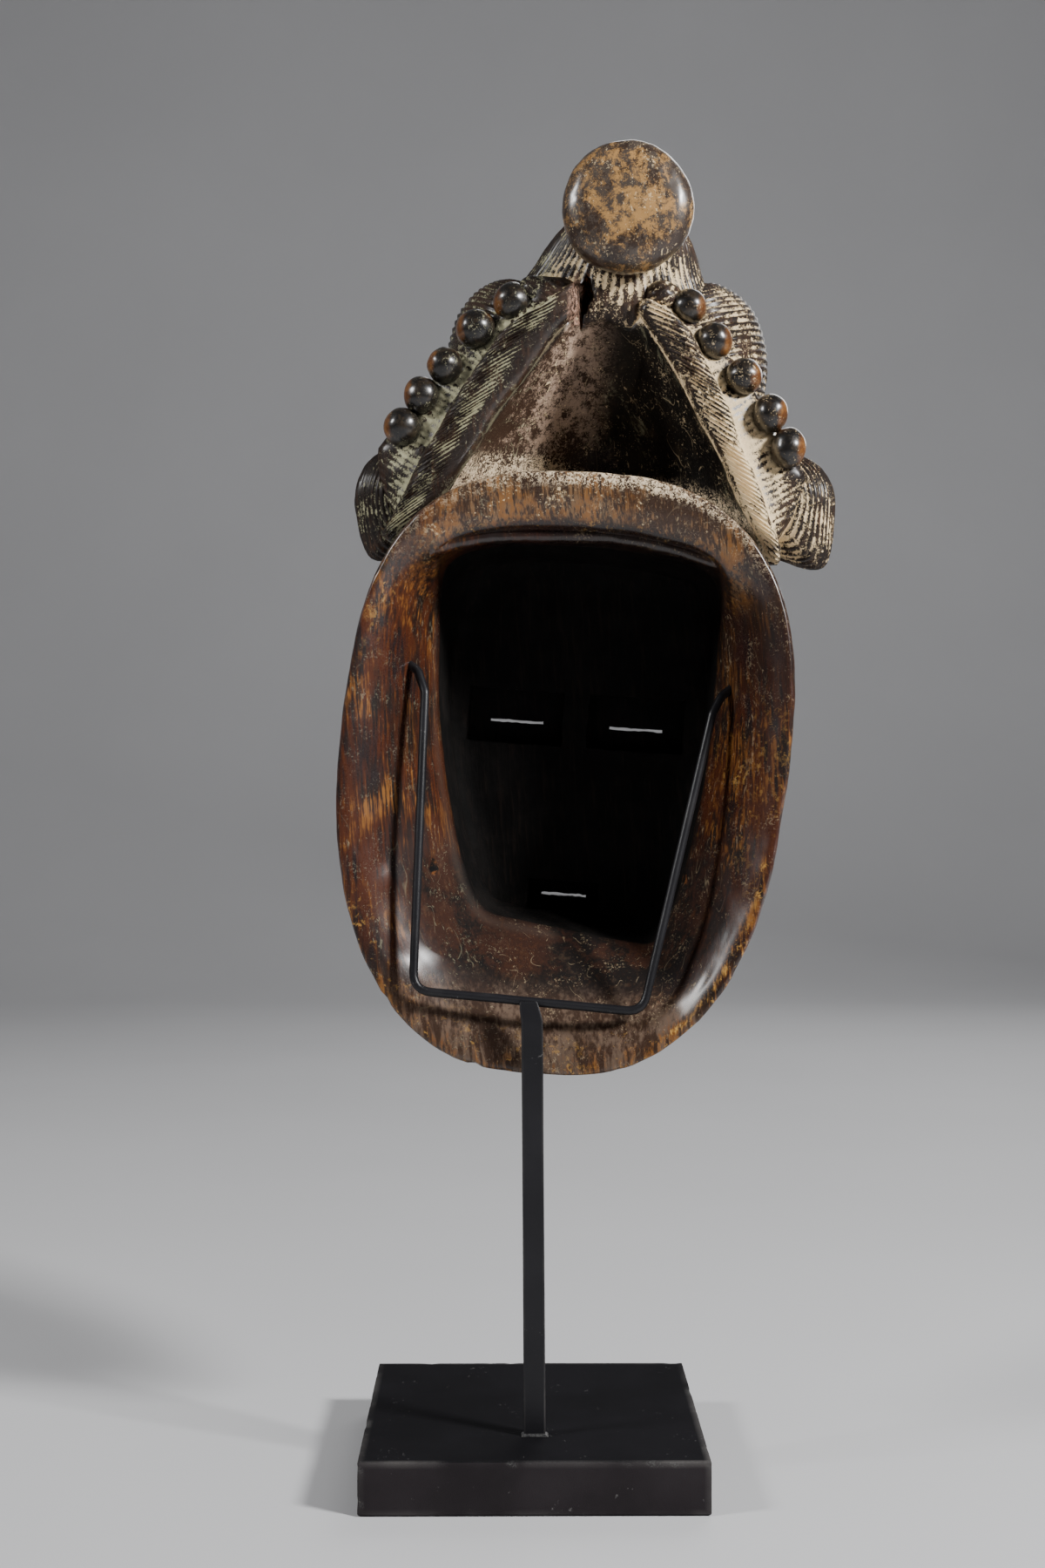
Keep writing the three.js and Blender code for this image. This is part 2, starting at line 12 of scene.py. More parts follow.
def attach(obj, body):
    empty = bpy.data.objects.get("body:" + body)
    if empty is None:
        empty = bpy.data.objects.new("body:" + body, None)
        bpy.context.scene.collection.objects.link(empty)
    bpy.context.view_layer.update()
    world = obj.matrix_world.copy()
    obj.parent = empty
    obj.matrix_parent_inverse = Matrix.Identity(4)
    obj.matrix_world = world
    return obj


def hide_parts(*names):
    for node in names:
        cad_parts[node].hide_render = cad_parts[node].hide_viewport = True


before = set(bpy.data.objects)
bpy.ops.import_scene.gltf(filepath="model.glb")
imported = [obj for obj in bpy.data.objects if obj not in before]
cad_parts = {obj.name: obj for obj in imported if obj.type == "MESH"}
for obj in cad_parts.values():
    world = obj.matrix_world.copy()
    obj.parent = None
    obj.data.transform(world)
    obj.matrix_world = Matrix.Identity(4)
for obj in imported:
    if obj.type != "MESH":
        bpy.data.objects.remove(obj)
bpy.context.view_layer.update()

mm = 0.001
degrees = math.pi / 180


# Small helpers

def clearSelection():
    if bpy.context.object and bpy.context.object.mode != "OBJECT":
        bpy.ops.object.mode_set(mode="OBJECT")
    bpy.ops.object.select_all(action="DESELECT")


def selectOnly(obj):
    clearSelection()
    obj.select_set(True)
    bpy.context.view_layer.objects.active = obj


def addObject(name, data):
    obj = bpy.data.objects.new(name, data)
    bpy.context.scene.collection.objects.link(obj)
    return obj


def addCube(name):
    clearSelection()
    bpy.ops.mesh.primitive_cube_add(size=1)
    cube = bpy.context.object
    cube.name = name
    return cube


def readData(items, field, width=1, kind=float):
    values = np.empty(len(items) * width, kind)
    items.foreach_get(field, values)
    return values.reshape(-1, width) if width > 1 else values


def readPoints(obj):
    return readData(obj.data.vertices, "co", 3)


def readNormals(obj):
    return readData(obj.data.vertices, "normal", 3)


def writePoints(obj, points):
    obj.data.vertices.foreach_set("co", np.ascontiguousarray(points, dtype=float).ravel())
    obj.data.update()


@contextmanager
def editing():
    bpy.ops.object.mode_set(mode="EDIT")
    bpy.ops.mesh.select_all(action="SELECT")
    yield
    bpy.ops.object.mode_set(mode="OBJECT")


def mix(a, b, t):
    return a + (b - a) * t


def clamp01(t):
    return np.clip(t, 0.0, 1.0)


def ease(t):
    t = clamp01(t)
    return t * t * (3 - 2 * t)


def throughKnots(x, xs, ys):
    # a smooth curve through the knots, level beyond both ends
    xs = np.asarray(xs, float)
    ys = np.asarray(ys, float)
    slopes = np.gradient(ys, xs)
    x = np.clip(x, xs[0], xs[-1])
    i = np.clip(np.searchsorted(xs, x) - 1, 0, len(xs) - 2)
    span = xs[i + 1] - xs[i]
    t = (x - xs[i]) / span
    rise = ys[i + 1] - ys[i]
    a = slopes[i] * span - rise
    b = rise - slopes[i + 1] * span
    return mix(ys[i], ys[i + 1], t) + t * (1 - t) * (a * (1 - t) + b * t)


def lattice(cells, seed):
    # one repeatable number from 0 to 1 for each whole-numbered cell
    n = cells[:, 0] * 73856093 ^ cells[:, 1] * 19349663 ^ cells[:, 2] * 83492791 ^ seed * 2654435761
    n = (n ^ (n >> 13)) * 1274126177 & 0xFFFFFFFF
    n = (n ^ (n >> 16)) * 2246822519 & 0xFFFFFFFF
    return (n >> 8 & 0xFFFF) / 65535.0


def softNoise(points, size, seed):
    # smooth noise from -1 to 1 with lumps of this size
    p = points / size
    base = np.floor(p).astype(np.int64)
    f = p - base
    f = f * f * (3 - 2 * f)
    total = np.zeros(len(points))
    for dx in (0, 1):
        for dy in (0, 1):
            for dz in (0, 1):
                w = np.abs(1 - dx - f[:, 0]) * np.abs(1 - dy - f[:, 1]) * np.abs(1 - dz - f[:, 2])
                total += w * lattice(base + np.array([dx, dy, dz]), seed)
    return 2 * total - 1


formPoints = []  # every form's points and their zones, to find a carved point's zone again


def noteZone(form, zone):
    points = readPoints(form)
    formPoints.append((points, np.broadcast_to(np.asarray(zone, float), len(points))))


def ringForm(name, rings, around, place, zone=None):
    # a sphere whose rings and sides are moved to where place says
    clearSelection()
    bpy.ops.mesh.primitive_uv_sphere_add(segments=around, ring_count=rings, radius=1)
    form = bpy.context.object
    form.name = name
    points = readPoints(form)
    t = np.round(np.arccos(np.clip(points[:, 2], -1, 1)) / math.pi * rings) / rings
    angle = np.arctan2(points[:, 1], points[:, 0])
    writePoints(form, np.stack(place(t, angle), axis=1))
    with editing():
        bpy.ops.mesh.normals_make_consistent(inside=False)
    noteZone(form, zone(t) if zone else zones[name])
    return form


def onBall(t, angle, size=1):
    polar = math.pi * t
    return size * np.sin(polar) * np.cos(angle), size * np.sin(polar) * np.sin(angle), size * np.cos(polar)


def onceRound(angle):
    return (angle + math.pi) / (2 * math.pi) % 1


def tapered(t, start, end, power=0.5):
    # 1 along the middle, rounding down to 0 at both ends
    return np.minimum(1, np.minimum(t / start, (1 - t) / end)) ** power


def bell(value, middle, reach):
    return np.exp(-(((value - middle) / reach) ** 2))


def combWave(phase, power=0.7):
    # 0 on a ridge and 1 in a groove
    return (0.5 - 0.5 * np.cos(phase)) ** power


# The photograph's view

viewSettings = {
    "place": (-0.011, -0.947, 0.3092),
    "turn": -0.387 * degrees,
    "lens": 47.38,
    "sensor": 36.0,
}


def makeCamera():
    camera = addObject("camera", bpy.data.cameras.new("camera"))
    camera.location = viewSettings["place"]
    camera.rotation_euler = (90 * degrees, 0, viewSettings["turn"])
    camera.data.lens = viewSettings["lens"]
    camera.data.sensor_width = viewSettings["sensor"]
    camera.data.clip_start = 0.05
    bpy.context.scene.camera = camera


# Outlines of the mask seen from behind, in its own frame and in millimetres, each 1 on its line

rim = {"halfWidth": 100, "top": 119.6, "bottom": 149.6, "topPower": 2.7, "bottomPower": 2.5,
       "shift": -1.3, "slope": 0.016, "round": 4.2, "inX": 0.982, "inZ": 0.985}
pit = {"left": 66, "leftTaper": 27, "right": 65, "rightTaper": 14, "from": 60, "over": 140, "top": 91,
       "droop": 9, "bottom": 86.5, "slant": 0.12, "corner": 11, "floorY": 78, "leastWall": 4.5,
       "floorShare": 0.95, "floorRound": 3}
face = {"halfWidth": 77, "top": 136, "bottom": 140, "power": 2.2, "edgeY": 60, "crown": 41, "crownPower": 3.6}
funnel = {"depth": 45, "power": 1.6}
visor = {"fromZ": 72, "toZ": 97, "roll": 7, "undercut": 31, "undercutPower": 20}


def roundedLevel(across, up, power):
    return (np.abs(across) ** power + np.abs(up) ** power) ** (1 / power)


def rimLevel(x, z):
    height = np.where(z >= 0, rim["top"], rim["bottom"])
    across = x - rim["shift"] - rim["slope"] * z
    return roundedLevel(across / rim["halfWidth"], z / height,
                        np.where(z >= 0, rim["topPower"], rim["bottomPower"]))


def pitLevel(x, z):
    taper = clamp01((pit["from"] - z) / pit["over"])
    width = np.where(x < 0, pit["left"] - pit["leftTaper"] * taper**2, pit["right"] - pit["rightTaper"] * taper**3)
    top = pit["top"] - pit["droop"] * np.minimum(1, np.abs(x) / pit["left"]) ** 2
    height = np.where(z >= 0, top, pit["bottom"] + pit["slant"] * x)
    return roundedLevel(x / width, z / height, pit["corner"])


def faceLevel(x, z):
    return roundedLevel(x / face["halfWidth"], z / np.where(z >= 0, face["top"], face["bottom"]), face["power"])


def rimArch(x):
    # the height of the rim's upper edge
    reach = np.minimum(0.999, np.abs(x / rim["halfWidth"]))
    return rim["top"] * (1 - reach ** rim["topPower"]) ** (1 / rim["topPower"])


def outlinePoint(level, angle):
    # the line is closed in on by halves
    near = np.full(angle.shape, 1.0)
    far = np.full(angle.shape, 220.0)
    for _ in range(32):
        middle = (near + far) / 2
        inside = level(middle * np.cos(angle), middle * np.sin(angle)) < 1
        near = np.where(inside, middle, near)
        far = np.where(inside, far, middle)
    return near * np.cos(angle), near * np.sin(angle)


def faceDepth(level):
    return face["edgeY"] + face["crown"] * (1 - np.minimum(1, level) ** face["crownPower"])


def faceY(x, z):
    return faceDepth(faceLevel(np.asarray(x, float), np.asarray(z, float)))


# The face is laid out by thirds: hairline to brow, brow to nose, nose to chin

hairline = 104
third = 76
brow = hairline - third
noseBase = brow - third
mouth = noseBase - third / 3
eye = {"x": 29, "z": brow - 0.22 * third, "halfWidth": 15.5, "halfHeight": 10, "height": 7}
nose = {"halfWidths": (5.5, 9), "wings": 5.5, "wingsFrom": 0.7, "heights": (3.5, 17), "spread": 1.25}
browArc = {"height": 3.2, "halfThick": 3, "from": 5, "across": 51, "rise": 9, "fall": 6, "end": 58}
faceSwells = [  # height, place and reach across, place and reach upwards
    (5, 9.5, 4.2, noseBase + 5, 5.5),
    (-3.2, 28, 22, eye["z"] + 1, 15),
    (-1.2, 0, 3, mouth + 6.5, 2.5),
    (4.5, 0, 17, -108, 14),
    (3, 40, 17, -34, 22),
]
lips = [(6.5, 16, 3.6, 4.4), (6.2, 14, -3.9, 4.6)]  # height, half width, place above the mouth, half height


def faceRelief(x, z):
    side = np.abs(x)
    down = clamp01((brow + 4 - z) / (brow + 4 - noseBase))
    half = mix(*nose["halfWidths"], down) + nose["wings"] * ease((down - nose["wingsFrom"]) / 0.25)
    ridge = mix(*nose["heights"], down**1.2) * ease((brow + 9 - z) / 8) * ease((z - noseBase + 3) / 4)
    relief = ridge * clamp01(1 - (side / (nose["spread"] * half)) ** 2.2) ** 0.8
    lid = clamp01(1 - ((side - eye["x"]) / eye["halfWidth"]) ** 2 - ((z - eye["z"]) / eye["halfHeight"]) ** 2)
    relief += eye["height"] * lid**0.55
    out = clamp01((side - browArc["from"]) / browArc["across"])
    arc = brow + browArc["rise"] * np.sin(math.pi * mix(0.18, 0.9, out)) - browArc["fall"] * out
    ends = ease((browArc["end"] - side) / 8) * ease((side + 3) / 6)
    relief += browArc["height"] * bell(z, arc, browArc["halfThick"]) * ends
    for height, wide, above, tall in lips:
        relief += height * clamp01(1 - (side / wide) ** 2 - ((z - mouth - above) / tall) ** 2) ** 0.6
    for height, across, wide, up, tall in faceSwells:
        relief += height * bell(side, across, wide) * bell(z, up, tall)
    return relief


bodyMesh = {"around": 224, "rings": (58, 20, 6, 44, 16, 16)}


def bodyStage(t):
    # 0 to 1 the face, then its side, the rim's round edge, the funnel, the hollow's wall and its floor
    marks = np.concatenate([[0], np.cumsum(bodyMesh["rings"])]) / sum(bodyMesh["rings"])
    return np.interp(t, marks, range(7))


def bodyPlace(t, angle):
    turn = np.arctan2(1.25 * np.sin(angle), np.cos(angle))
    rx, rz = outlinePoint(rimLevel, turn)
    px, pz = outlinePoint(pitLevel, turn)
    fx, fz = outlinePoint(faceLevel, turn)
    stage = bodyStage(t)
    part = np.minimum(np.floor(stage + 1e-6), 5)
    s = stage - part
    share = throughKnots(s, [0, 0.25, 0.5, 0.8, 1], [0, 0.4, 0.75, 0.965, 1])
    sideY = throughKnots(s, [0, 0.25, 0.5, 0.8, 1], [60, 44, 26, 9.5, rim["round"]])
    ix, iz = rim["inX"] * rx, rim["inZ"] * rz
    bend = s * math.pi / 2
    over = ease((rz - visor["fromZ"]) / (visor["toZ"] - visor["fromZ"]))
    rolled = visor["roll"] * s**2 + visor["undercut"] * s ** visor["undercutPower"]
    lip = mix(funnel["depth"], visor["roll"] + visor["undercut"], over)
    wall, flat = mix(1, pit["floorShare"], s), pit["floorShare"] * (1 - s)
    deepest = faceY(pit["floorShare"] * px, pit["floorShare"] * pz) - pit["leastWall"]
    floorY = pit["floorY"] - pit["floorRound"] * (1 - ease(s / 0.12))
    places = [
        (s * fx, faceDepth(s) + faceRelief(s * fx, s * fz) * ease((1 - s) / 0.12), s * fz),
        (mix(fx, rx, share), sideY, mix(fz, rz, share)),
        (mix(rx, ix, 1 - np.cos(bend)), rim["round"] * (1 - np.sin(bend)), mix(rz, iz, 1 - np.cos(bend))),
        (mix(ix, px, s), mix(funnel["depth"] * s ** funnel["power"], rolled, over), mix(iz, pz, s)),
        (wall * px, mix(lip, np.minimum(pit["floorY"] - pit["floorRound"], deepest), s), wall * pz),
        (flat * px, np.minimum(floorY, faceY(flat * px, flat * pz) - pit["leastWall"]), flat * pz),
    ]
    return [np.choose(part.astype(int), values) for values in zip(*places)]


# The headdress

arms = {"topZ": 196, "innerTopZ": 193, "inner": 20, "innerSpread": 64, "outer": 32, "outerSpread": 57,
        "drop": 107, "leftIn": 8}
bed = {"top": 36, "spread": 62, "topZ": 203, "widestZ": 128, "tuck": 20, "footZ": 84, "archZ": 110,
       "crownFrom": 0.38, "crownTo": 0.5, "footFrom": 0.88}


def armInner(z, side):
    spread = arms["innerSpread"] * clamp01((arms["innerTopZ"] - z) / arms["drop"]) ** 0.88
    return arms["inner"] + spread - (arms["leftIn"] if side < 0 else 0)


def armOuter(z):
    return arms["outer"] + arms["outerSpread"] * clamp01((arms["topZ"] - z) / arms["drop"]) ** 0.78


def bedEdge(z):
    spread = bed["spread"] * clamp01((bed["topZ"] - z) / (bed["topZ"] - bed["widestZ"])) ** 0.75
    tuck = bed["tuck"] * clamp01((bed["widestZ"] - z) / (bed["widestZ"] - bed["footZ"])) ** 2
    return bed["top"] + spread - tuck


def roundTrip(u, form, footZ, topZ):
    # once round: up the right side, over the crown, down the left side, along the foot
    atCrown = (u >= form["crownFrom"]) & (u < form["crownTo"])
    up = np.where(u < form["crownTo"], u, form["footFrom"] - u) / form["crownFrom"]
    crown = math.pi * clamp01((u - form["crownFrom"]) / (form["crownTo"] - form["crownFrom"]))
    foot = clamp01((u - form["footFrom"]) / (1 - form["footFrom"]))
    return atCrown, u >= form["footFrom"], mix(footZ, topZ, clamp01(up)), crown, foot


def capOutline(u, share, top):
    atCrown, alongFoot, z, crown, foot = roundTrip(u, bed, bed["footZ"], arms["topZ"])
    edge = mix(armOuter(z), bedEdge(z), share)
    x = np.where(u < bed["crownFrom"], edge, np.where(atCrown, np.cos(crown) * edge, -edge))
    z = np.where(atCrown, arms["topZ"] + (top - arms["topZ"]) * np.sin(crown), z)
    footEdge = mix(armOuter(bed["footZ"]), bedEdge(bed["footZ"]), share)
    foot = mix(-1, 1, foot)
    arch = mix(bed["footZ"], bed["archZ"], ease((1 - np.abs(foot)) / 0.4))
    return np.where(alongFoot, foot * footEdge, x), np.where(alongFoot, arch, z)


capStations = {
    "t": [0, 0.04, 0.1, 0.2, 0.5, 0.65, 0.8, 0.93, 1], "y": [20, 20.4, 24, 31, 62, 80, 92, 101, 104],
    "sizeY": [0, 20.1, 20.2, 62, 80, 92, 100, 104], "size": [0.9, 0.97, 0.99, 1, 0.9, 0.7, 0.44, 0.1],
}


def capPlace(t, angle):
    u = onceRound(angle)
    y = throughKnots(t, capStations["t"], capStations["y"])
    share = ease((y - 19) / 12)
    top = 205 + 4 * ease((y - 20) / 12)
    x, z = capOutline(u, share, top)
    scale = np.interp(y, capStations["sizeY"], capStations["size"])
    scale = np.where((t == 0) | (t == 1), 0, scale)
    middle = hairline + 34
    x, z = scale * x, middle + scale * (z - middle)
    between = ease((z - 186) / 16) * (1 - ease((np.abs(x - 4) - 12) / 12)) * ease((40 - y) / 12)
    return x, y + 8 * between, z


niche = {"footZ": 92, "topZ": 190, "apexZ": 199, "floorY": 74, "centreX": 6, "centreZ": 128,
         "crownFrom": 0.36, "crownTo": 0.5, "footFrom": 0.86}
nicheStations = {
    "t": [0, 0.1, 0.35, 0.6, 0.8, 0.93, 1], "y": [2, 8, 24, 44, 60, 71, niche["floorY"]],
    "sizeY": [2, 12, 24, 36, 48, 60, 71, 74], "size": [1.02, 1, 0.97, 0.88, 0.72, 0.5, 0.2, 0.08],
}


def nichePlace(t, angle):
    # the hollow between the arms, cut down to the top of the rim
    u = onceRound(angle)
    y = throughKnots(t, nicheStations["t"], nicheStations["y"])
    s = throughKnots(y, nicheStations["sizeY"], nicheStations["size"])
    s = np.where((t == 0) | (t == 1), 0, s)
    atCrown, alongFoot, z, crown, foot = roundTrip(u, niche, niche["footZ"], niche["topZ"])
    left, right = armInner(z, -1), armInner(z, 1)
    overTop = np.cos(crown) * np.where(np.cos(crown) > 0, right, left)
    x = np.where(u < niche["crownFrom"], right, np.where(atCrown, overTop, -left))
    z = np.where(atCrown, niche["topZ"] + (niche["apexZ"] - niche["topZ"]) * np.sin(crown), z)
    footLeft, footRight = (0.97 * armInner(niche["footZ"], side) for side in (-1, 1))
    footX = mix(-footLeft, footRight, foot)
    x = np.where(alongFoot, footX, x)
    z = np.where(alongFoot, rimArch(footX) + 1, z)
    z = mix(niche["centreZ"], z, s**0.6)
    return mix(niche["centreX"], x, s), y, z - 0.45 * np.maximum(0, y - 12) * ease((z - 128) / 70)


armComb = {"grooves": 43, "depth": 1.15, "height": 7, "y": 21.5, "fromZ": 199, "toZ": 87,
           "bareFrom": {-1: 0.35, 1: 0.75}, "steep": {-1: (0.9, 1.3), 1: (0.5, 1)}}


def armPlace(side):
    # a flat-topped band, its strokes falling outwards and steepening on the way down
    def place(t, angle):
        c = np.cos(angle)
        across = np.sign(c) * np.abs(c) ** 0.7
        down = clamp01((t - 0.015) / 0.97)
        z = mix(armComb["fromZ"], armComb["toZ"], down)
        end = tapered(t, 0.03, 0.12, 0.6)
        half = end * ((armOuter(z) - armInner(z, side)) / 2 + 1.5)
        turn = armComb["grooves"] * down + 0.3 * np.sin(17 * down + side) + 0.15 * np.sin(43 * down)
        comb = armComb["depth"] * combWave(2 * math.pi * (turn + 0.1 * np.sin(3 * across + 9 * down)), 0.8)
        bare = ease((across + armComb["bareFrom"][side]) / 0.3)
        lift = (armComb["height"] - comb * bare) * np.sin(angle)
        steep = mix(*armComb["steep"][side], down)
        z = z - steep * half * across
        x = side * ((armOuter(z) + armInner(z, side)) / 2 + half * across) + 0.4 * np.sin(down * 21 + side)
        return x, armComb["y"] - lift * end, z
    return place


bosses = [  # x, z, radius and how much taller than wide
    (40, 200.4, 7.6, 1), (52.5, 185.5, 8.4, 1), (66.6, 170.2, 8.4, 1),
    (79.9, 154.1, 8, 1.15), (88.8, 139.3, 7.8, 1.2),
    (-40.5, 197.8, 8.6, 1), (-56.5, 184.5, 9, 1), (-69.2, 167.1, 8.4, 1),
    (-79, 153, 8.2, 1.05), (-86.6, 137.8, 8.2, 1.05),
]
bossY = 25


def bossPlace(x, z, r, tall):
    def place(t, angle):
        u, v, w = onBall(t, angle)
        return x + r * u, bossY - 1.05 * r * w, z + tall * r * v
    return place


lobes = [{"x": 49, "rx": 30, "rz": 42}, {"x": -45, "rx": 28, "rz": 39}]
lobeComb = {"spacing": 3.1, "depth": 0.8, "y": 60, "back": 36, "front": 44, "z": 177, "tilt": 20 * degrees,
            "droop": 43, "droopFrom": 52}


def lobePlace(lobe, grooves):
    side = math.copysign(1, lobe["x"])

    def place(t, angle):
        u, v, w = onBall(t, angle, 1 - lobeComb["depth"] * combWave(2 * math.pi * grooves * t) / lobe["rx"])
        c, s = math.cos(lobeComb["tilt"]), math.sin(lobeComb["tilt"])
        u, w = c * u - side * s * w, c * w + side * s * u
        y = lobeComb["y"] + v * np.where(v < 0, lobeComb["back"], lobeComb["front"])
        droop = lobeComb["droop"] * clamp01((y - lobeComb["droopFrom"]) / 52) ** 2.2
        inward = mix(0.86, 1, np.sqrt(clamp01(1 - v * v)))
        return lobe["x"] * inward + lobe["rx"] * u, y, lobeComb["z"] + lobe["rz"] * w - droop
    return place


buns = [
    {"x": 91, "y": 52, "z": 116.5, "rx": 23.5, "ry": 22, "rz": 24, "tipX": 112, "tipZ": 88},
    {"x": -88, "y": 52, "z": 108.5, "rx": 22, "ry": 22, "rz": 24, "tipX": -99, "tipZ": 82},
]
bunComb = {"grooves": 26, "depth": 0.75}
bunShape = {"lean": (0.5, 0.86), "point": 0.3}


def bunPlace(bun):
    side = math.copysign(1, bun["x"])
    leanX, leanY = bunShape["lean"]
    axis = Vector((-side * leanX, -leanY, 0)).normalized()

    def place(t, angle):
        comb = combWave(2 * math.pi * bunComb["grooves"] * t)
        u, v, w = onBall(t, angle, 1 - bunComb["depth"] * comb / bun["rx"])
        tipX, tipZ = bun["tipX"] - bun["x"], bun["tipZ"] - bun["z"]
        seen = np.arctan2(v * bun["rz"], side * u * bun["rx"])
        point = np.maximum(0, np.cos(seen - math.atan2(tipZ, tipX))) ** 8 * np.sin(math.pi * t) ** 4
        point *= bunShape["point"]
        x = bun["x"] + bun["ry"] * w * axis.x + bun["rx"] * u * side * leanY + point * tipX
        y = bun["y"] + bun["ry"] * w * axis.y - bun["rx"] * u * leanX
        z = bun["z"] + bun["rz"] * v + point * tipZ
        return x, y, z
    return place


knob = {
    "x": 9.2, "z": 240.5, "radius": 29.7,
    "outline": [0, 0.25, 0.5, 0.7, 0.84, 0.93, 0.98, 1, 0.99, 0.93, 0.8, 0.45, 0],
    "y": [0, 0.3, 1.1, 2.4, 4.3, 6.8, 9.6, 13, 16.5, 19.5, 23, 26, 27],
}


def knobPlace(t, angle):
    knots = np.linspace(0, 1, len(knob["outline"]))
    r = knob["radius"] * throughKnots(t, knots, knob["outline"])
    r *= 1 + 0.008 * np.cos(3 * angle + 0.6) + 0.006 * np.cos(5 * angle)
    return knob["x"] + r * np.cos(angle), throughKnots(t, knots, knob["y"]), knob["z"] + r * np.sin(angle)


crestStations = {
    "x": [1, 4, 6, 7, 8, 9.2],
    "y": [93, 102, 93, 72, 48, 22],
    "z": [108, 150, 188, 214, 230, 239],
    "across": [10, 15, 20, 28, 28, 24],
    "deep": [6, 11, 17, 22, 24, 24],
}
neckStations = {
    "x": [2, 3, 5, 8, 9.2],
    "y": [62, 60, 52, 44, 40],
    "rx": [54, 54, 41.5, 30, 17],
    "ry": [33, 37, 31, 25, 17],
}
neck = {"levels": [0, 0.15, 0.49, 0.79, 1], "footZ": 184, "topZ": 250}
flutes = {"crest": (22, 0.05), "neck": (74, 0.018)}  # how many and how deep


def fluted(angle, count, depth):
    return 1 - depth * combWave(count * angle)


def crestPlace(t, angle):
    along = np.linspace(0, 1, 6)
    at = {k: throughKnots(t, along, v) for k, v in crestStations.items()}
    ahead, behind = ([np.interp(t + step, along, crestStations[k]) for k in "zy"] for step in (0.04, -0.04))
    slope = np.arctan2(ahead[0] - behind[0], ahead[1] - behind[1])
    swell = fluted(angle, *flutes["crest"]) * tapered(t, 0.03, 0.03)
    lift = at["deep"] * swell * np.sin(angle)
    across = at["across"] * swell * np.cos(angle)
    return at["x"] + across, at["y"] - lift * np.sin(slope), at["z"] + lift * np.cos(slope)


def neckPlace(t, angle):
    at = {k: throughKnots(t, neck["levels"], v) for k, v in neckStations.items()}
    swell = fluted(angle + 0.02 * np.sin(9 * t + 3 * angle), *flutes["neck"]) * tapered(t, 0.03, 0.03)
    x = at["x"] + at["rx"] * swell * np.cos(angle)
    return x, at["y"] + at["ry"] * swell * np.sin(angle), mix(neck["footZ"], neck["topZ"], t)


def tubePlace(path, radius):
    path = np.asarray(path, float)

    def middle(t):
        stations = np.linspace(0, 1, len(path))
        return np.stack([throughKnots(t, stations, path[:, i]) for i in range(3)], axis=1)

    def place(t, angle):
        ahead = middle(t + 0.01) - middle(t - 0.01)
        ahead /= np.linalg.norm(ahead, axis=1)[:, None]
        sideways = np.cross(ahead, [0, 1, 0])
        sideways /= np.linalg.norm(sideways, axis=1)[:, None]
        outwards = np.cross(sideways, ahead)
        r = radius * tapered(t, 0.04, 0.04)
        return (middle(t) + sideways * (r * np.cos(angle))[:, None] + outwards * (r * np.sin(angle))[:, None]).T
    return place


ear = {"centre": (85, 50, 2), "reach": (5, 9, 24), "from": -100, "over": 215, "points": 9, "radius": 5.5}


def earPath(side):
    angle = (ear["from"] + ear["over"] * np.linspace(0, 1, ear["points"])) * degrees
    (x, y, z), (reachX, reachY, reachZ) = ear["centre"], ear["reach"]
    x = side * (x + reachX * np.cos(angle))
    return np.stack([x, y - reachY * np.cos(angle), z + reachZ * np.sin(angle)], axis=1)


bandRoll = {"halfWidth": 70, "droop": 16, "radius": 4.5, "twists": 24}


def bandPlace(t, angle):
    x = mix(-bandRoll["halfWidth"], bandRoll["halfWidth"], t)
    z = hairline - bandRoll["droop"] * (x / bandRoll["halfWidth"]) ** 2
    r = bandRoll["radius"] * tapered(t, 0.02, 0.02) * fluted(2 * math.pi * t, bandRoll["twists"], 0.14)
    return x, faceY(x, z) + 0.5 + r * np.sin(angle), z + r * np.cos(angle)


def block(name, centre, size, cuts, rough):
    form = addCube(name)
    with editing():
        bpy.ops.mesh.subdivide(number_cuts=cuts)
    points = readPoints(form) * np.array(size) + np.array(centre)
    points += rough * np.stack([softNoise(points, 2.4, seed) for seed in (1, 2, 3)], axis=1)
    writePoints(form, points)
    noteZone(form, zones["pocket"])
    return form


def combine(target, others, operation):
    for other in others:
        selectOnly(target)
        cut = target.modifiers.new("join", "BOOLEAN")
        cut.operation = operation
        cut.solver = "MANIFOLD"
        cut.object = other
        bpy.ops.object.modifier_apply(modifier=cut.name)
        bpy.data.objects.remove(other)


visorLip = {
    "path": [(-69, 10, 81), (-62, 10, 83.5), (-43, 11, 88.5), (-19, 12, 91), (12, 12, 92.5), (36, 12, 89.8),
             (63, 10.5, 82.5), (84, 8, 75)],
    "radius": 4.2,
}


def lipPlace(t, angle):
    # the rolled lower edge of the visor, thickest at its left end
    centre = tubePlace(visorLip["path"], 0.001)(t, angle)
    swell = visorLip["radius"] * mix(1.3, 0.8, ease(t / 0.25)) * tapered(t, 0.03, 0.3)
    return centre[0], centre[1] - swell * np.sin(angle), centre[2] + swell * np.cos(angle)


maskRoll = 4.2
maskPlace = Matrix.Translation((14.8, -34, 328.5)) @ Matrix.Rotation(-4 * degrees, 4, "Z")
maskPlace @= Matrix.Rotation(maskRoll * degrees, 4, "Y")


# the body's own zones run from 0 to 6
zoneNames = "cap lobe crest neck knob bun niche arm boss ear band pocket worn crack lip".split()
zones = {name: 10 + i for i, name in enumerate(zoneNames)}

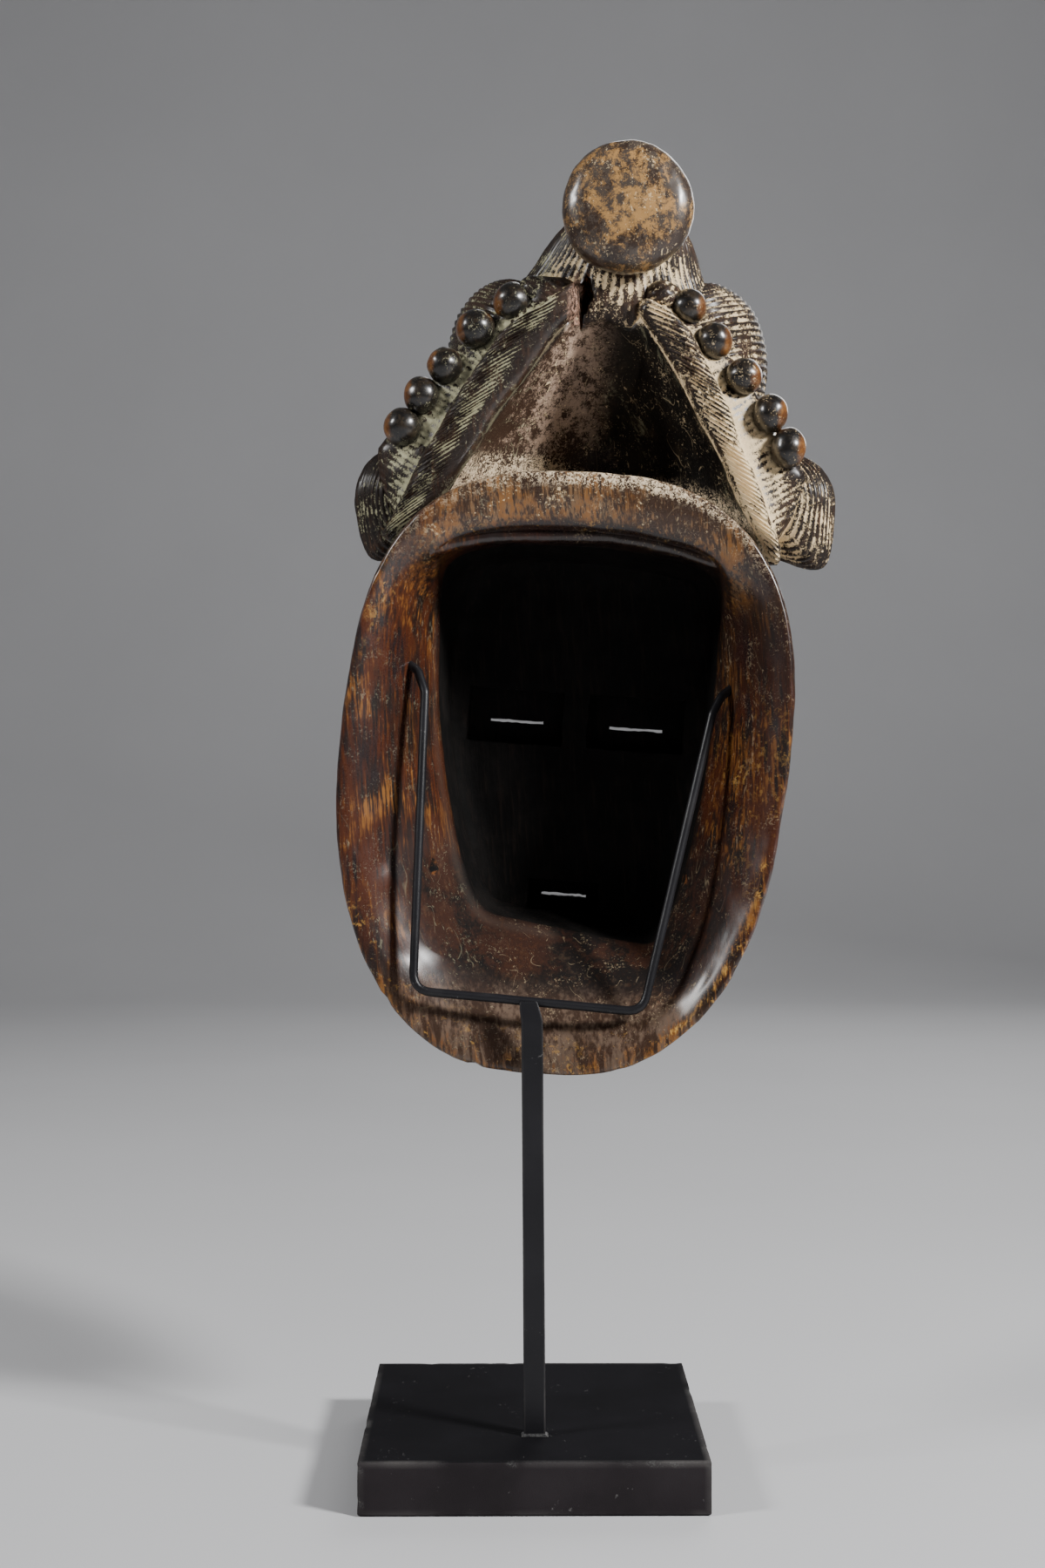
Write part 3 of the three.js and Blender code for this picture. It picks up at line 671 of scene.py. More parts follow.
lumps = {  # centre, radii, unevenness and seed
    "worn": [((27.5, 25, 204), (7.5, 6.5, 7), 0.08, 4), ((-31, 25, 204), (7, 6, 6), 0.08, 5),
             ((-22, 32, 199), (17, 15, 13), 0.1, 6)],
    "crack": [((-7.4, 22, 202), (3.2, 12, 8), 0.22, 7), ((-8.6, 20, 192), (1.6, 9, 12), 0.2, 8)],
}
openings = [  # place across and up, the slit below it, its length, and the pocket's width and height
    (-eye["x"], eye["z"], 2, 26, 46, 26),
    (eye["x"], eye["z"], 2, 26, 46, 26),
    (0, mouth, 0, 22, 34, 15),
]


def lump(name, centre, radii, rough, seed):
    # a rounded lump of wood with an uneven surface
    def place(t, angle):
        p = np.stack(onBall(t, angle), axis=1)
        p *= 1 + rough * softNoise(p, 0.55, seed)[:, None]
        return (p * np.array(radii) + np.array(centre)).T
    return ringForm(name, 28, 40, place)


def makeMask():
    body = ringForm("mask_carving", sum(bodyMesh["rings"]), bodyMesh["around"], bodyPlace, bodyStage)
    adds = [ringForm("cap", 60, 150, capPlace)]
    for lobe in lobes:
        grooves = round(math.pi * (lobe["rx"] + lobe["rz"]) / 2 / lobeComb["spacing"])
        adds.append(ringForm("lobe", grooves * 5, 72, lobePlace(lobe, grooves)))
    adds.append(ringForm("crest", 44, 132, crestPlace))
    adds.append(ringForm("neck", 20, 370, neckPlace))
    adds.append(ringForm("knob", 44, 96, knobPlace))
    adds += [ringForm("bun", bunComb["grooves"] * 5, 60, bunPlace(bun)) for bun in buns]
    combine(body, adds, "UNION")
    combine(body, [ringForm("niche", 40, 140, nichePlace)], "DIFFERENCE")
    adds = [ringForm("arm", armComb["grooves"] * 5, 32, armPlace(side)) for side in (-1, 1)]
    adds += [ringForm("boss", 24, 36, bossPlace(*boss)) for boss in bosses]
    adds += [lump("worn", *one) for one in lumps["worn"]]
    adds.append(ringForm("lip", 120, 20, lipPlace))
    adds += [ringForm("ear", 40, 16, tubePlace(earPath(side), ear["radius"])) for side in (-1, 1)]
    adds.append(ringForm("band", bandRoll["twists"] * 5, 16, bandPlace))
    combine(body, adds, "UNION")
    cuts = []
    for x, z, below, length, wide, tall in openings:
        cuts.append(block("slit", (x, 92, z - below), (length, 60, 1.6), 11, 0.55))
        cuts.append(block("pocket", (x, pit["floorY"], z), (wide, 20, tall), 7, 0.8))
    cuts += [lump("crack", *one) for one in lumps["crack"]]
    combine(body, cuts, "DIFFERENCE")
    return body


def smoothed(values, edges, rounds):
    # values averaged with their neighbours' a number of times
    a, b = edges[:, 0], edges[:, 1]
    count = len(values)
    degree = np.maximum(1, np.bincount(edges.ravel(), minlength=count))
    flat = values.reshape(count, -1).T.copy()
    for _ in range(rounds):
        for i, row in enumerate(flat):
            total = np.bincount(a, row[b], count) + np.bincount(b, row[a], count)
            flat[i] = mix(row, total / degree, 0.6)
    return flat.T.reshape(values.shape)


def zoneValues(points):
    allPoints = np.concatenate([p for p, _ in formPoints])
    allZones = np.concatenate([z for _, z in formPoints])
    tree = KDTree(len(allPoints))
    for i, p in enumerate(allPoints):
        tree.insert(p, i)
    tree.balance()
    return allZones[[tree.find(p)[1] for p in points]]


def bodyBand(zone, centre, width):
    # 1 on a ring of the body, fading to 0 on both sides
    return np.where(zone < 7, clamp01(1 - np.abs(zone - centre) / width), 0)


handMarks = {"outline": 0.8, "facets": 0.32, "small": 0.16, "rimChips": 1.5, "knotDepth": 1.3}
woodKnots = [(-57.9, -61.5), (57.1, -58.7)]
combRange = 500  # what the comb lines' place is divided by to lie between 0 and 1
combSpacing = 3.1


def roughen(obj, zone):
    # the carver's uneven hand, and chips along the rim's edge
    points = readPoints(obj)
    x, _, z = points.T
    body = zone < 7
    hollow = (zone > 3.95) & body
    moved = handMarks["outline"] * softNoise(points, 34, 11)
    moved += handMarks["facets"] * softNoise(points, 8.5, 12) * np.where(zone == zones["knob"], 0.5, 1)
    moved += handMarks["small"] * softNoise(points, 3.2, 13) * np.where(body & ~hollow, 0.6, 1.3)
    chips = ease((softNoise(points * [1, 1, 0.5], 4.5, 14) - 0.3) / 0.5) * bodyBand(zone, 2.6, 0.75)
    moved -= handMarks["rimChips"] * chips * (0.4 + 0.6 * ease(-z / 60))
    for knotX, knotZ in woodKnots:
        dent = bell(x, knotX, 2) * bell(z, knotZ, 4)
        moved -= handMarks["knotDepth"] * dent * (body & (zone > 3) & ~hollow)
    moved *= 1 - 0.7 * np.where(body, clamp01(1.4 - zone), 0)
    moved = np.where(zone == zones["pocket"], 0, moved)
    writePoints(obj, points + readNormals(obj) * moved[:, None])


def roundChin(obj, zone, edges):
    # the underside of the jaw was rubbed round, without the corners that the rings leave
    points = readPoints(obj)
    amount = smoothed((zone < 2.1) * ease((-78 - points[:, 2]) / 16), edges, 12)
    writePoints(obj, points + amount[:, None] * (smoothed(points, edges, 70) - points))


def shelter(obj, wanted, reach, rays=9):
    # how much of the sky over each wanted point is blocked nearby
    tree = BVHTree.FromObject(obj, bpy.context.evaluated_depsgraph_get())
    points, normals = readPoints(obj), readNormals(obj)
    sky = []
    for i in range(rays):
        height = 0.25 + 0.7 * (i + 0.5) / rays
        flat = math.sqrt(1 - height * height)
        sky.append(Vector((flat * math.cos(2.39996 * i), flat * math.sin(2.39996 * i), height)))
    blocked = np.zeros(len(points))
    for i in np.flatnonzero(wanted):
        normal = Vector(normals[i])
        start = Vector(points[i]) + normal * 0.3
        upwards = normal.to_track_quat("Z", "Y")
        hits = sum(tree.ray_cast(start, upwards @ direction, reach)[0] is not None for direction in sky)
        blocked[i] = hits / rays
    return blocked


def paintValues(obj, name, columns):
    attribute = obj.data.color_attributes.new(name, "FLOAT_COLOR", "POINT")
    values = np.ones((len(obj.data.vertices), 4))
    for i, column in enumerate(columns):
        values[:, i] = clamp01(column)
    attribute.data.foreach_set("color", values.ravel())


painted = {  # every painted value, up to three to an attribute, and how often it is smoothed
    "carving": {"fine": 0, "shelter": 2},
    "zones": {"hair": 2, "funnel": 2, "soot": 2},
    "places": {"knob": 1, "boss": 1, "dust": 3},
    "details": {"niche": 2, "crack": 0},
    "comb": {"combed": 0, "cap": 2, "lowSheen": 0},
    "patches": {"visor": 0, "broken": 0, "pale": 0},
    "tones": {"red": 4, "gold": 3, "scuff": 4},
    "sides": {"middle": 2, "nicheLeft": 6, "green": 0},
    "amounts": {"chalky": 3, "outer": 2, "bevel": 2},
}
spots = {  # strength, place across and up, and reach across and up
    "red": [(0.9, -22, -86, 30, 13), (0.9, 76, -14, 22, 38), (0.5, 62, -66, 16, 22)],
    "gold": [(0.4, 92, -4, 9, 30), (0.6, 78, -14, 15, 32)],
    "sheen": [(0.85, -58, -86, 16, 20), (0.6, -84, -50, 14, 26)],
}


def findValues(mask, zone, edges):
    # what the wood's colours need to know of every point
    points = readPoints(mask)
    x, y, z = points.T
    body = zone < 7

    def near(acrossX, upZ, reachX, reachZ):
        return bell(x, acrossX, reachX) * bell(z, upZ, reachZ)

    def spotted(name):
        return np.array([strength * near(*spot) for strength, *spot in spots[name]])

    def isZone(*names):
        return np.isin(zone, [zones[k] for k in names]).astype(float)

    v = SimpleNamespace()
    v.fine = 0.5 + np.sum((smoothed(points, edges, 5) - points) * readNormals(mask), axis=1) / 0.7
    v.shelter = shelter(mask, ~body | (zone < 3.2) & (z > 60), 14)
    print("shelter found for", int(np.sum(~body)), "points")

    # the hair, and how chalky it is
    v.hair = isZone("cap", "lobe", "crest", "neck", "bun", "arm", "band", "worn")
    v.hair -= 0.75 * isZone("arm") * (x < 0) * ease((armInner(z, -1) + 7.5 + x) / 3)
    v.cap = isZone("cap", "worn")
    v.chalky = (0.72 - 0.42 * ease((y - 44) / 30)) * isZone("cap") + (0.72 + 0.48 * (x > 0)) * isZone("arm")
    v.chalky += 0.5 * isZone("worn") + 0.15 * isZone("neck", "crest", "band")
    v.chalky += isZone("neck", "crest") * (0.6 * near(12, 207, 26, 6) + 0.4 * ease((214 - z) / 8) * (y < 60))
    v.chalky += (0.28 + 0.22 * (x > 0)) * isZone("lobe") + (0.3 + 0.48 * (x > 0)) * isZone("bun")
    v.combed = 0.5 + (0.5 * np.abs(x) - 0.84 * z + 0.25 * y + 1.4 * softNoise(points, 16, 16)) / combRange
    v.green = ease((12 - x) / 70)

    # the bosses' outer sides and the knob's middle
    v.boss = isZone("boss")
    v.outer = np.zeros(len(x))
    for bossX, bossZ, r, _ in bosses:
        outwards = ease(((x - bossX) * math.copysign(1, bossX) / r - 0.1) / 0.7)
        v.outer = np.maximum(v.outer, v.boss * near(bossX, bossZ, 1.6 * r, 1.6 * r) * outwards)
    v.knob = isZone("knob")
    v.middle = v.knob * (1 - ((x - knob["x"]) ** 2 + (z - knob["z"]) ** 2) / knob["radius"] ** 2)

    # the funnel from the rim to the hollow's edge
    inwards = np.where(body, clamp01(zone - 3), 0)
    inside = body & (zone > 2.2) & (zone < 4)
    left = ease((-38 - x) / 26)
    low = ease((-62 - z) / 26)
    v.funnel = (body & (zone > 1.7) & (zone < 4.3)) + isZone("lip")
    v.soot = np.where(body, ease((zone - 3.97) / 0.07), 0) + isZone("pocket")
    # the hollow's edge on the left, below the visor, which the wood's colour paints as a grey line: painted
    # highlight
    v.bevel = bodyBand(zone, 3.95, 0.04) * (z < 60) * (x < 0)
    # scuffed wood low on the funnel near the hollow, which the wood's colour also darkens as painted shade under
    # the rim
    v.scuff = v.funnel * ease((inwards - 0.3) / 0.35) * ease((-30 - z) / 40)
    v.pale = v.funnel * ease((-104 - z) / 16) * (1 - ease((inwards - 0.45) / 0.3))
    # the red on the right side stops above z 46, keeping the funnel's upper right dark as painted shade under the
    # visor
    v.red = 0.2 + 0.9 * left * (1 - 0.4 * low) + 0.3 * ease((x - 60) / 30) * ease((46 - z) / 24)
    v.red = v.funnel * (v.red + spotted("red").sum(axis=0))
    v.lowSheen = np.maximum(0.5 * ease((x - 20) / 30) * ease((-70 - z) / 20), spotted("sheen").max(axis=0))
    v.lowSheen *= v.funnel
    v.visor = inside * ease((z - 58) / 12) * (1 - 0.9 * ease((np.abs(x - 3) - 60) / 18))
    v.visor *= 1 - ease((inwards - 0.66) / 0.14)
    underVisor = ease((z - 56) / 12) * ease((inwards - 0.2) / 0.3) * (1 - ease((inwards - 0.75) / 0.2))
    v.gold = np.max([
        0.6 * near(-90, 66, 11, 24) * left,
        0.95 * low * bodyBand(zone, 2.75, 0.6),
        0.95 * bodyBand(zone, 3.08, 0.14) * ease((x - 30) / 25) * ease((-24 - z) / 30),
        # less gold under the visor on the right, for the same painted shade
        0.5 * underVisor * (1 - 0.8 * ease((x - 64) / 12)),
        *spotted("gold"),
    ], axis=0)
    v.gold *= 0.3 + 0.7 * np.where(body, ease((zone - 2.1) / 0.4), 1)

    # the niche, and the dust at its foot and along the visor's top
    v.niche = isZone("niche")
    # the niche's left wall, which the wood's colour paints lighter as the lit wall; the rest of the niche is
    # painted dark as shade
    v.nicheLeft = v.niche * ease((8 - x) / 14)
    visorTop = inside * ease((z - 66) / 16) * (1 - ease((inwards - 0.08) / 0.2))
    visorTop *= 0.2 + 0.6 * bell(x, 15, 48)
    foot = v.niche * ease((13 + 6 * ease(-x / 20) - (z - rimArch(x))) / 9)
    # the foot's dust is left out around x 14, so the wood there stays dark as painted shade
    v.dust = np.maximum(visorTop, foot * (1 - 0.9 * bell(x, 14, 12)))

    # cracks and the broken strip
    cracked = isZone("crack")
    v.crack = 0.5 * cracked
    for knotX, knotZ in woodKnots:
        v.crack = np.maximum(v.crack, 0.5 * v.funnel * ease((near(knotX, knotZ, 2.4, 4.6) - 0.35) / 0.25))
    strip = (cracked == 0) * (y < 40) * near(-12.1, 199, 2.7, 14) * (1 + 0.3 * softNoise(points, 2.2, 15))
    v.broken = np.maximum(ease((strip - 0.35) / 0.2), cracked * (x < -9))
    return vars(v)


def finishMask(mask):
    zone = zoneValues(readPoints(mask))
    edges = readData(mask.data.edges, "vertices", 2, np.int32)
    roundChin(mask, zone, edges)
    roughen(mask, zone)
    values = findValues(mask, zone, edges)
    for name, parts in painted.items():
        paintValues(mask, name, [smoothed(values[part], edges, rounds) for part, rounds in parts.items()])
    smoked = np.where(zone < 7, zone > 4.02, zone == zones["pocket"])
    corners = readData(mask.data.loops, "vertex_index", kind=np.int32)
    starts = readData(mask.data.polygons, "loop_start", kind=np.int32)
    sooty = np.minimum.reduceat(smoked[corners].astype(np.int32), starts)
    mask.data.polygons.foreach_set("material_index", sooty)
    turn = np.array(maskPlace.to_3x3())
    writePoints(mask, (readPoints(mask) @ turn.T + np.array(maskPlace.translation)) * mm)
    selectOnly(mask)
    bpy.ops.object.shade_smooth_by_angle(angle=62 * degrees)


# The stand

plinthBlock = {"side": 150, "height": 22.5, "edge": 0.55, "chips": 0.3, "cuts": (46, 46, 8)}
uprightBar = {
    "chamfer": 0.35, "beadSpread": 1.2, "beadHeight": 1.2, "beadRough": 0.25,
    "levels": [0.2, 0.4, 0.6, 0.8, 1, 1.2, 1.6, 3, 30, 60, 90, 120, 150, 176, 180, 182.5, 184, 185.5, 187, 188.5,
               190, 190.8],
}
uprightPath = {  # height above the plinth, then x, y of the middle, width and thickness
    "up": [0, 176, 182.5, 187, 190, 191],
    "x": [0.5, -0.6, -0.7, -1.6, -2.1, -2.2],
    "y": [-38.8, -38.8, -38.8, -38.5, -38.2, -38.1],
    "wide": [9.5, 9.5, 9.5, 8.9, 8.0, 7.2],
    "thick": [3.2, 3.2, 3.2, 2.8, 2.3, 1.9],
}
cradleWire = {
    "corners": [(-52.2, -8.3, 360.7), (-48.8, -13, 350.6), (-53.4, -33.5, 217.8), (48.4, -34, 208.2),
                (81.2, -14, 340.7), (85.4, -11.3, 348.7)],
    "bends": [5, 5, 9, 9, 5, 5], "grip": 9, "gripTurn": (0.62, 0.62, 0.48), "radius": 2, "sides": 24, "steps": 7,
    "uneven": 0.08,
}


def bevelledBox(name, size, bevel):
    box = addCube(name)
    writePoints(box, readPoints(box) * size + [0, 0, size[2] / 2])
    edges = box.modifiers.new("edges", "BEVEL")
    edges.width = bevel
    edges.segments = 3
    edges.limit_method = "NONE"
    bpy.ops.object.modifier_apply(modifier=edges.name)
    return box


def sliceBox(axis, places):
    # more points across the active box, so that its surface can be worn
    normal = [float(axis == i) for i in range(3)]
    with editing():
        for place in places:
            bpy.ops.mesh.select_all(action="SELECT")
            bpy.ops.mesh.bisect(plane_co=[place * n for n in normal], plane_no=normal)


def makePlinth():
    size = np.array([plinthBlock["side"], plinthBlock["side"], plinthBlock["height"]])
    half = size / 2
    obj = bevelledBox("plinth", size, plinthBlock["edge"])
    for axis, cuts in enumerate(plinthBlock["cuts"]):
        sliceBox(axis, [size[axis] * (i / cuts - 0.5) + (half[2] if axis == 2 else 0) for i in range(1, cuts)])
    points, normals = readPoints(obj), readNormals(obj)
    inset = half - np.abs(points - [0, 0, half[2]])
    edge = np.sum(inset < plinthBlock["edge"] + 0.01, axis=1) > 1
    raised = points[:, 2] > 2
    chips = plinthBlock["chips"] * edge * ease((softNoise(points, 5, 21) - 0.25) / 0.4) * raised
    points += normals * (0.06 * softNoise(points, 40, 22) * raised - chips)[:, None]
    points[:, 2] = np.maximum(points[:, 2], 0)
    rubbed = edge * (0.5 + 0.5 * clamp01(softNoise(points, 12, 23) + 0.4))
    # the third channel marks the upright faces, which the paint makes lighter than the top: partly a rubbed,
    # grainier finish and partly painted light
    paintValues(obj, "wear", [rubbed, chips / plinthBlock["chips"], np.abs(normals[:, 2]) < 0.5])
    return finishStandPiece(obj, points, 40)


def finishStandPiece(obj, points, angle):
    writePoints(obj, points * mm)
    selectOnly(obj)
    bpy.ops.object.shade_smooth_by_angle(angle=angle * degrees)
    return obj


def makeUpright():
    wide, thick = uprightPath["wide"][0], uprightPath["thick"][0]
    obj = bevelledBox("upright", [wide, thick, uprightPath["up"][-1]], uprightBar["chamfer"])
    sliceBox(2, uprightBar["levels"])
    sliceBox(0, wide * np.linspace(-0.4, 0.4, 7))
    points = readPoints(obj)
    up = points[:, 2].copy()
    side, deep = points[:, 0] / wide, points[:, 1] / thick
    bead = uprightBar["beadSpread"] * np.sqrt(clamp01(1 - (up / uprightBar["beadHeight"]) ** 2))
    bead *= 1 + uprightBar["beadRough"] * softNoise(points, 1.4, 31)
    x, y, wide, thick = (np.interp(up, uprightPath["up"], uprightPath[k]) for k in ("x", "y", "wide", "thick"))
    wide = wide + 0.12 * softNoise(points * [0, 0, 1], 26, 32)
    edge = (np.abs(side) > 0.455) & (np.abs(deep) > 0.36)
    points[:, 0] = x + side * (wide + 2 * bead)
    points[:, 1] = y + deep * (thick + 2 * bead) + 0.05 * softNoise(points, 14, 33)
    points[:, 2] += plinthBlock["height"] - 0.05
    rubbed = edge * (0.35 + 0.65 * clamp01(softNoise(points, 9, 34) + 0.3))
    # the bead at the foot goes in the chips channel, which paints it pale: partly the fillet's own colour and
    # partly painted highlight
    paintValues(obj, "wear", [rubbed, ease((1.6 - up) / 0.6), 0 * up])
    return finishStandPiece(obj, points, 35)


def roundedCorners(corners, radii, count):
    # straight runs with each corner turned by a small curve
    points = [np.array(corners[0], float)]
    for i in range(1, len(corners) - 1):
        corner = np.array(corners[i], float)
        back = np.array(corners[i - 1], float) - corner
        on = np.array(corners[i + 1], float) - corner
        backLength, onLength = np.linalg.norm(back), np.linalg.norm(on)
        between = math.acos(np.dot(back, on) / backLength / onLength)
        reach = min(radii[i - 1] * math.tan((math.pi - between) / 2), 0.45 * min(backLength, onLength))
        start, end = corner + back / backLength * reach, corner + on / onLength * reach
        for t in np.linspace(0, 1, count):
            points.append((1 - t) ** 2 * start + 2 * t * (1 - t) * corner + t ** 2 * end)
    points.append(np.array(corners[-1], float))
    return points


def makeCradle():
    corners = [np.array(c) for c in cradleWire["corners"]]
    sideways, inwards, up = cradleWire["gripTurn"]
    corners.insert(0, corners[0] + np.array((-sideways, inwards, up)) * cradleWire["grip"])
    corners.append(corners[-1] + np.array((sideways, inwards, up)) * cradleWire["grip"])
    points = roundedCorners(corners, cradleWire["bends"], cradleWire["steps"])
    path = [points[0]]
    for a, b in zip(points, points[1:]):
        pieces = max(1, round(np.linalg.norm(b - a) / 6))
        path += [a + (b - a) * (i + 1) / pieces for i in range(pieces)]
    data = bpy.data.curves.new("cradle", "CURVE")
    data.dimensions = "3D"
    data.bevel_depth = cradleWire["radius"]
    data.bevel_resolution = cradleWire["sides"] // 4 - 1
    data.use_fill_caps = True
    spline = data.splines.new("POLY")
    spline.points.add(len(path) - 1)
    for point, p in zip(spline.points, path):
        point.co = (*p, 1)
    selectOnly(addObject("cradle", data))
    bpy.ops.object.convert(target="MESH")
    obj = bpy.context.object
    obj.name = "cradle"
    with editing():
        bpy.ops.mesh.remove_doubles(threshold=0.001)
        bpy.ops.mesh.normals_make_consistent(inside=False)
    points = readPoints(obj)
    points += readNormals(obj) * (cradleWire["uneven"] * softNoise(points, 7, 41))[:, None]
    rubbed = clamp01(softNoise(points, 11, 42) - 0.25)
    paintValues(obj, "wear", [0.5 * rubbed, 0 * rubbed, 0 * rubbed])
    return finishStandPiece(obj, points, 60)


# Node helpers, which all add to the tree on the bench

bench = SimpleNamespace(tree=None)


def newMaterial(name):
    material = bpy.data.materials.new(name)
    material.use_nodes = True
    bench.tree = material.node_tree
    return material, bench.tree.nodes["Principled BSDF"].inputs


def newGroup(name, inputs, outputs):
    group = bench.tree = bpy.data.node_groups.new(name, "ShaderNodeTree")
    for socket, value in inputs.items():
        kind = "NodeSocketVector" if value is None else "NodeSocketFloat"
        made = group.interface.new_socket(socket, in_out="INPUT", socket_type=kind)
        if value is not None:
            made.default_value = value
    for socket in outputs:
        group.interface.new_socket(socket, in_out="OUTPUT", socket_type="NodeSocketFloat")
    given = group.nodes.new("NodeGroupInput").outputs
    return group, [given[socket] for socket in inputs], group.nodes.new("NodeGroupOutput").inputs


def feed(socket, value):
    if isinstance(value, bpy.types.NodeSocket):
        bench.tree.links.new(value, socket)
    elif isinstance(value, tuple) and socket.type == "RGBA":
        socket.default_value = (*value, 1)
    else:
        socket.default_value = value


def put(kind, inputs=None, **settings):
    node = bench.tree.nodes.new(kind)
    for key, value in settings.items():
        setattr(node, key, value)
    for key, value in (inputs or {}).items():
        feed(node.inputs[key], value)
    return node


def useGroup(group, **inputs):
    return put("ShaderNodeGroup", inputs, node_tree=group).outputs


def maths(operation, a, b=0.0, clamp=False):
    return put("ShaderNodeMath", {0: a, 1: b}, operation=operation, use_clamp=clamp).outputs[0]


def chained(operation):
    def join(first, *more):
        for value in more:
            first = maths(operation, first, value)
        return first
    return join


times, plus, most, least = (chained(operation) for operation in ("MULTIPLY", "ADD", "MAXIMUM", "MINIMUM"))


def off(value, by=0.5):
    return maths("SUBTRACT", value, by)


def lean(value, share):
    # a noise about its middle, so many times stronger
    return times(off(value), share)


def steps(value, low, high):
    # 0 below low, 1 above high, eased between
    inputs = {"Value": value, "From Min": low, "From Max": high}
    return put("ShaderNodeMapRange", inputs, interpolation_type="SMOOTHSTEP").outputs["Result"]


def ranged(value, low, high):
    return put("ShaderNodeMapRange", {"Value": value, "To Min": low, "To Max": high}).outputs["Result"]


def blend(amount, low, high):
    return put("ShaderNodeMix", {"Factor": amount, 6: low, 7: high}, data_type="RGBA").outputs[2]


def fade(value, low, high, first, second):
    # from one colour to the other as the value goes from low to high
    return blend(steps(value, low, high), first, second)


def noise(scale, detail, rough, vector, warp=0.0, seed=None):
    inputs = {"Vector": vector, "Scale": scale, "Detail": detail, "Roughness": rough, "Distortion": warp}
    if seed is None:
        return put("ShaderNodeTexNoise", inputs).outputs["Fac"]
    return put("ShaderNodeTexNoise", {**inputs, "W": seed}, noise_dimensions="4D").outputs["Fac"]


def objectPlace():
    return put("ShaderNodeTexCoord").outputs["Object"]


def turned(place, angle=0.0, stretch=1.0):
    inputs = {"Vector": place, "Rotation": (0, angle * degrees, 0), "Scale": (1, 1, stretch)}
    return put("ShaderNodeMapping", inputs).outputs[0]


def readPainted(name):
    source = put("ShaderNodeAttribute", attribute_name=name, attribute_type="GEOMETRY")
    return put("ShaderNodeSeparateColor", {"Color": source.outputs["Color"]}).outputs


def addBump(shader, height, strength, distance):
    bump = put("ShaderNodeBump", {"Height": height, "Strength": strength, "Distance": distance})
    feed(shader["Normal"], bump.outputs["Normal"])


grainLayers = {"Streaks": (0.09, 620, 4), "Bands": (0.22, 95, 3), "Pores": (0.05, 1500, 2)}


def makeGrainGroup():
    # long thin streaks along Z: fine pores and broader bands
    group, (place, size, seed), result = newGroup(
        "woodGrain", {"Place": None, "Size": 1.0, "Seed": 0.0}, ["Streaks", "Bands", "Pores"])
    for name, (stretch, scale, detail) in grainLayers.items():
        feed(result[name], noise(times(size, scale), detail, 0.6, turned(place, stretch=stretch), 0.0, seed))
    return group


def makeSpeckGroup():
    # small scattered flakes, 1 on a flake and 0 between them
    group, (place, scale, share, seed), result = newGroup(
        "specks", {"Place": None, "Scale": 300.0, "Share": 0.1, "Seed": 0.0}, ["Specks"])
    crowds = noise(times(scale, 0.12), 2.0, 0.5, place, 0.0, seed)
    level = plus(noise(scale, 3.0, 0.7, place, 0.6, seed), lean(crowds, 0.5), share)
    feed(result["Specks"], steps(level, 0.72, 0.78))
    return group


def makeScratchGroup():
    # thin broken lines, 1 on a line
    group, (place, scale, width, seed), result = newGroup(
        "scratches", {"Place": None, "Scale": 60.0, "Width": 0.01, "Seed": 0.0}, ["Lines"])
    away = maths("ABSOLUTE", off(noise(scale, 1.0, 0.3, place, 0.3, seed)))
    line = maths("SUBTRACT", 1.0, maths("DIVIDE", away, width), clamp=True)
    gaps = noise(times(scale, 2.3), 3.0, 0.5, place, 0.0, seed)
    feed(result["Lines"], times(line, steps(gaps, 0.50, 0.60)))
    return group


wood = SimpleNamespace(
    soot=(0.0022, 0.0019, 0.0017),
    black=(0.0055, 0.0045, 0.004),
    dark=(0.015, 0.0095, 0.0072),
    brown=(0.042, 0.023, 0.0145),
    purple=(0.0165, 0.0098, 0.0098),
    red=(0.062, 0.0175, 0.0075),
    rust=(0.135, 0.047, 0.0125),
    orange=(0.24, 0.098, 0.022),
    gold=(0.47, 0.26, 0.065),
    ochre=(0.36, 0.20, 0.072),
    grey=(0.062, 0.047, 0.037),
    olive=(0.030, 0.021, 0.0125),
    tan=(0.22, 0.14, 0.08),
    visorTan=(0.20, 0.114, 0.055),
    kaolin=(0.86, 0.67, 0.405),
    greenKaolin=(0.47, 0.45, 0.29),
    dust=(0.80, 0.64, 0.44),
    pinkish=(0.40, 0.285, 0.21),
    broken=(0.40, 0.24, 0.17),
    rusty=(0.030, 0.0118, 0.0072),
    lowTan=(0.13, 0.088, 0.062),
)


def weighed(values, base=0.0, **shares):
    # painted values added up, each with its share
    return plus(*(times(getattr(values, name), share) for name, share in shares.items()), base)


def readValues():
    # every painted value by its own name
    values = {}
    for name, parts in painted.items():
        values.update(zip(parts, readPainted(name)))
    return SimpleNamespace(**values)


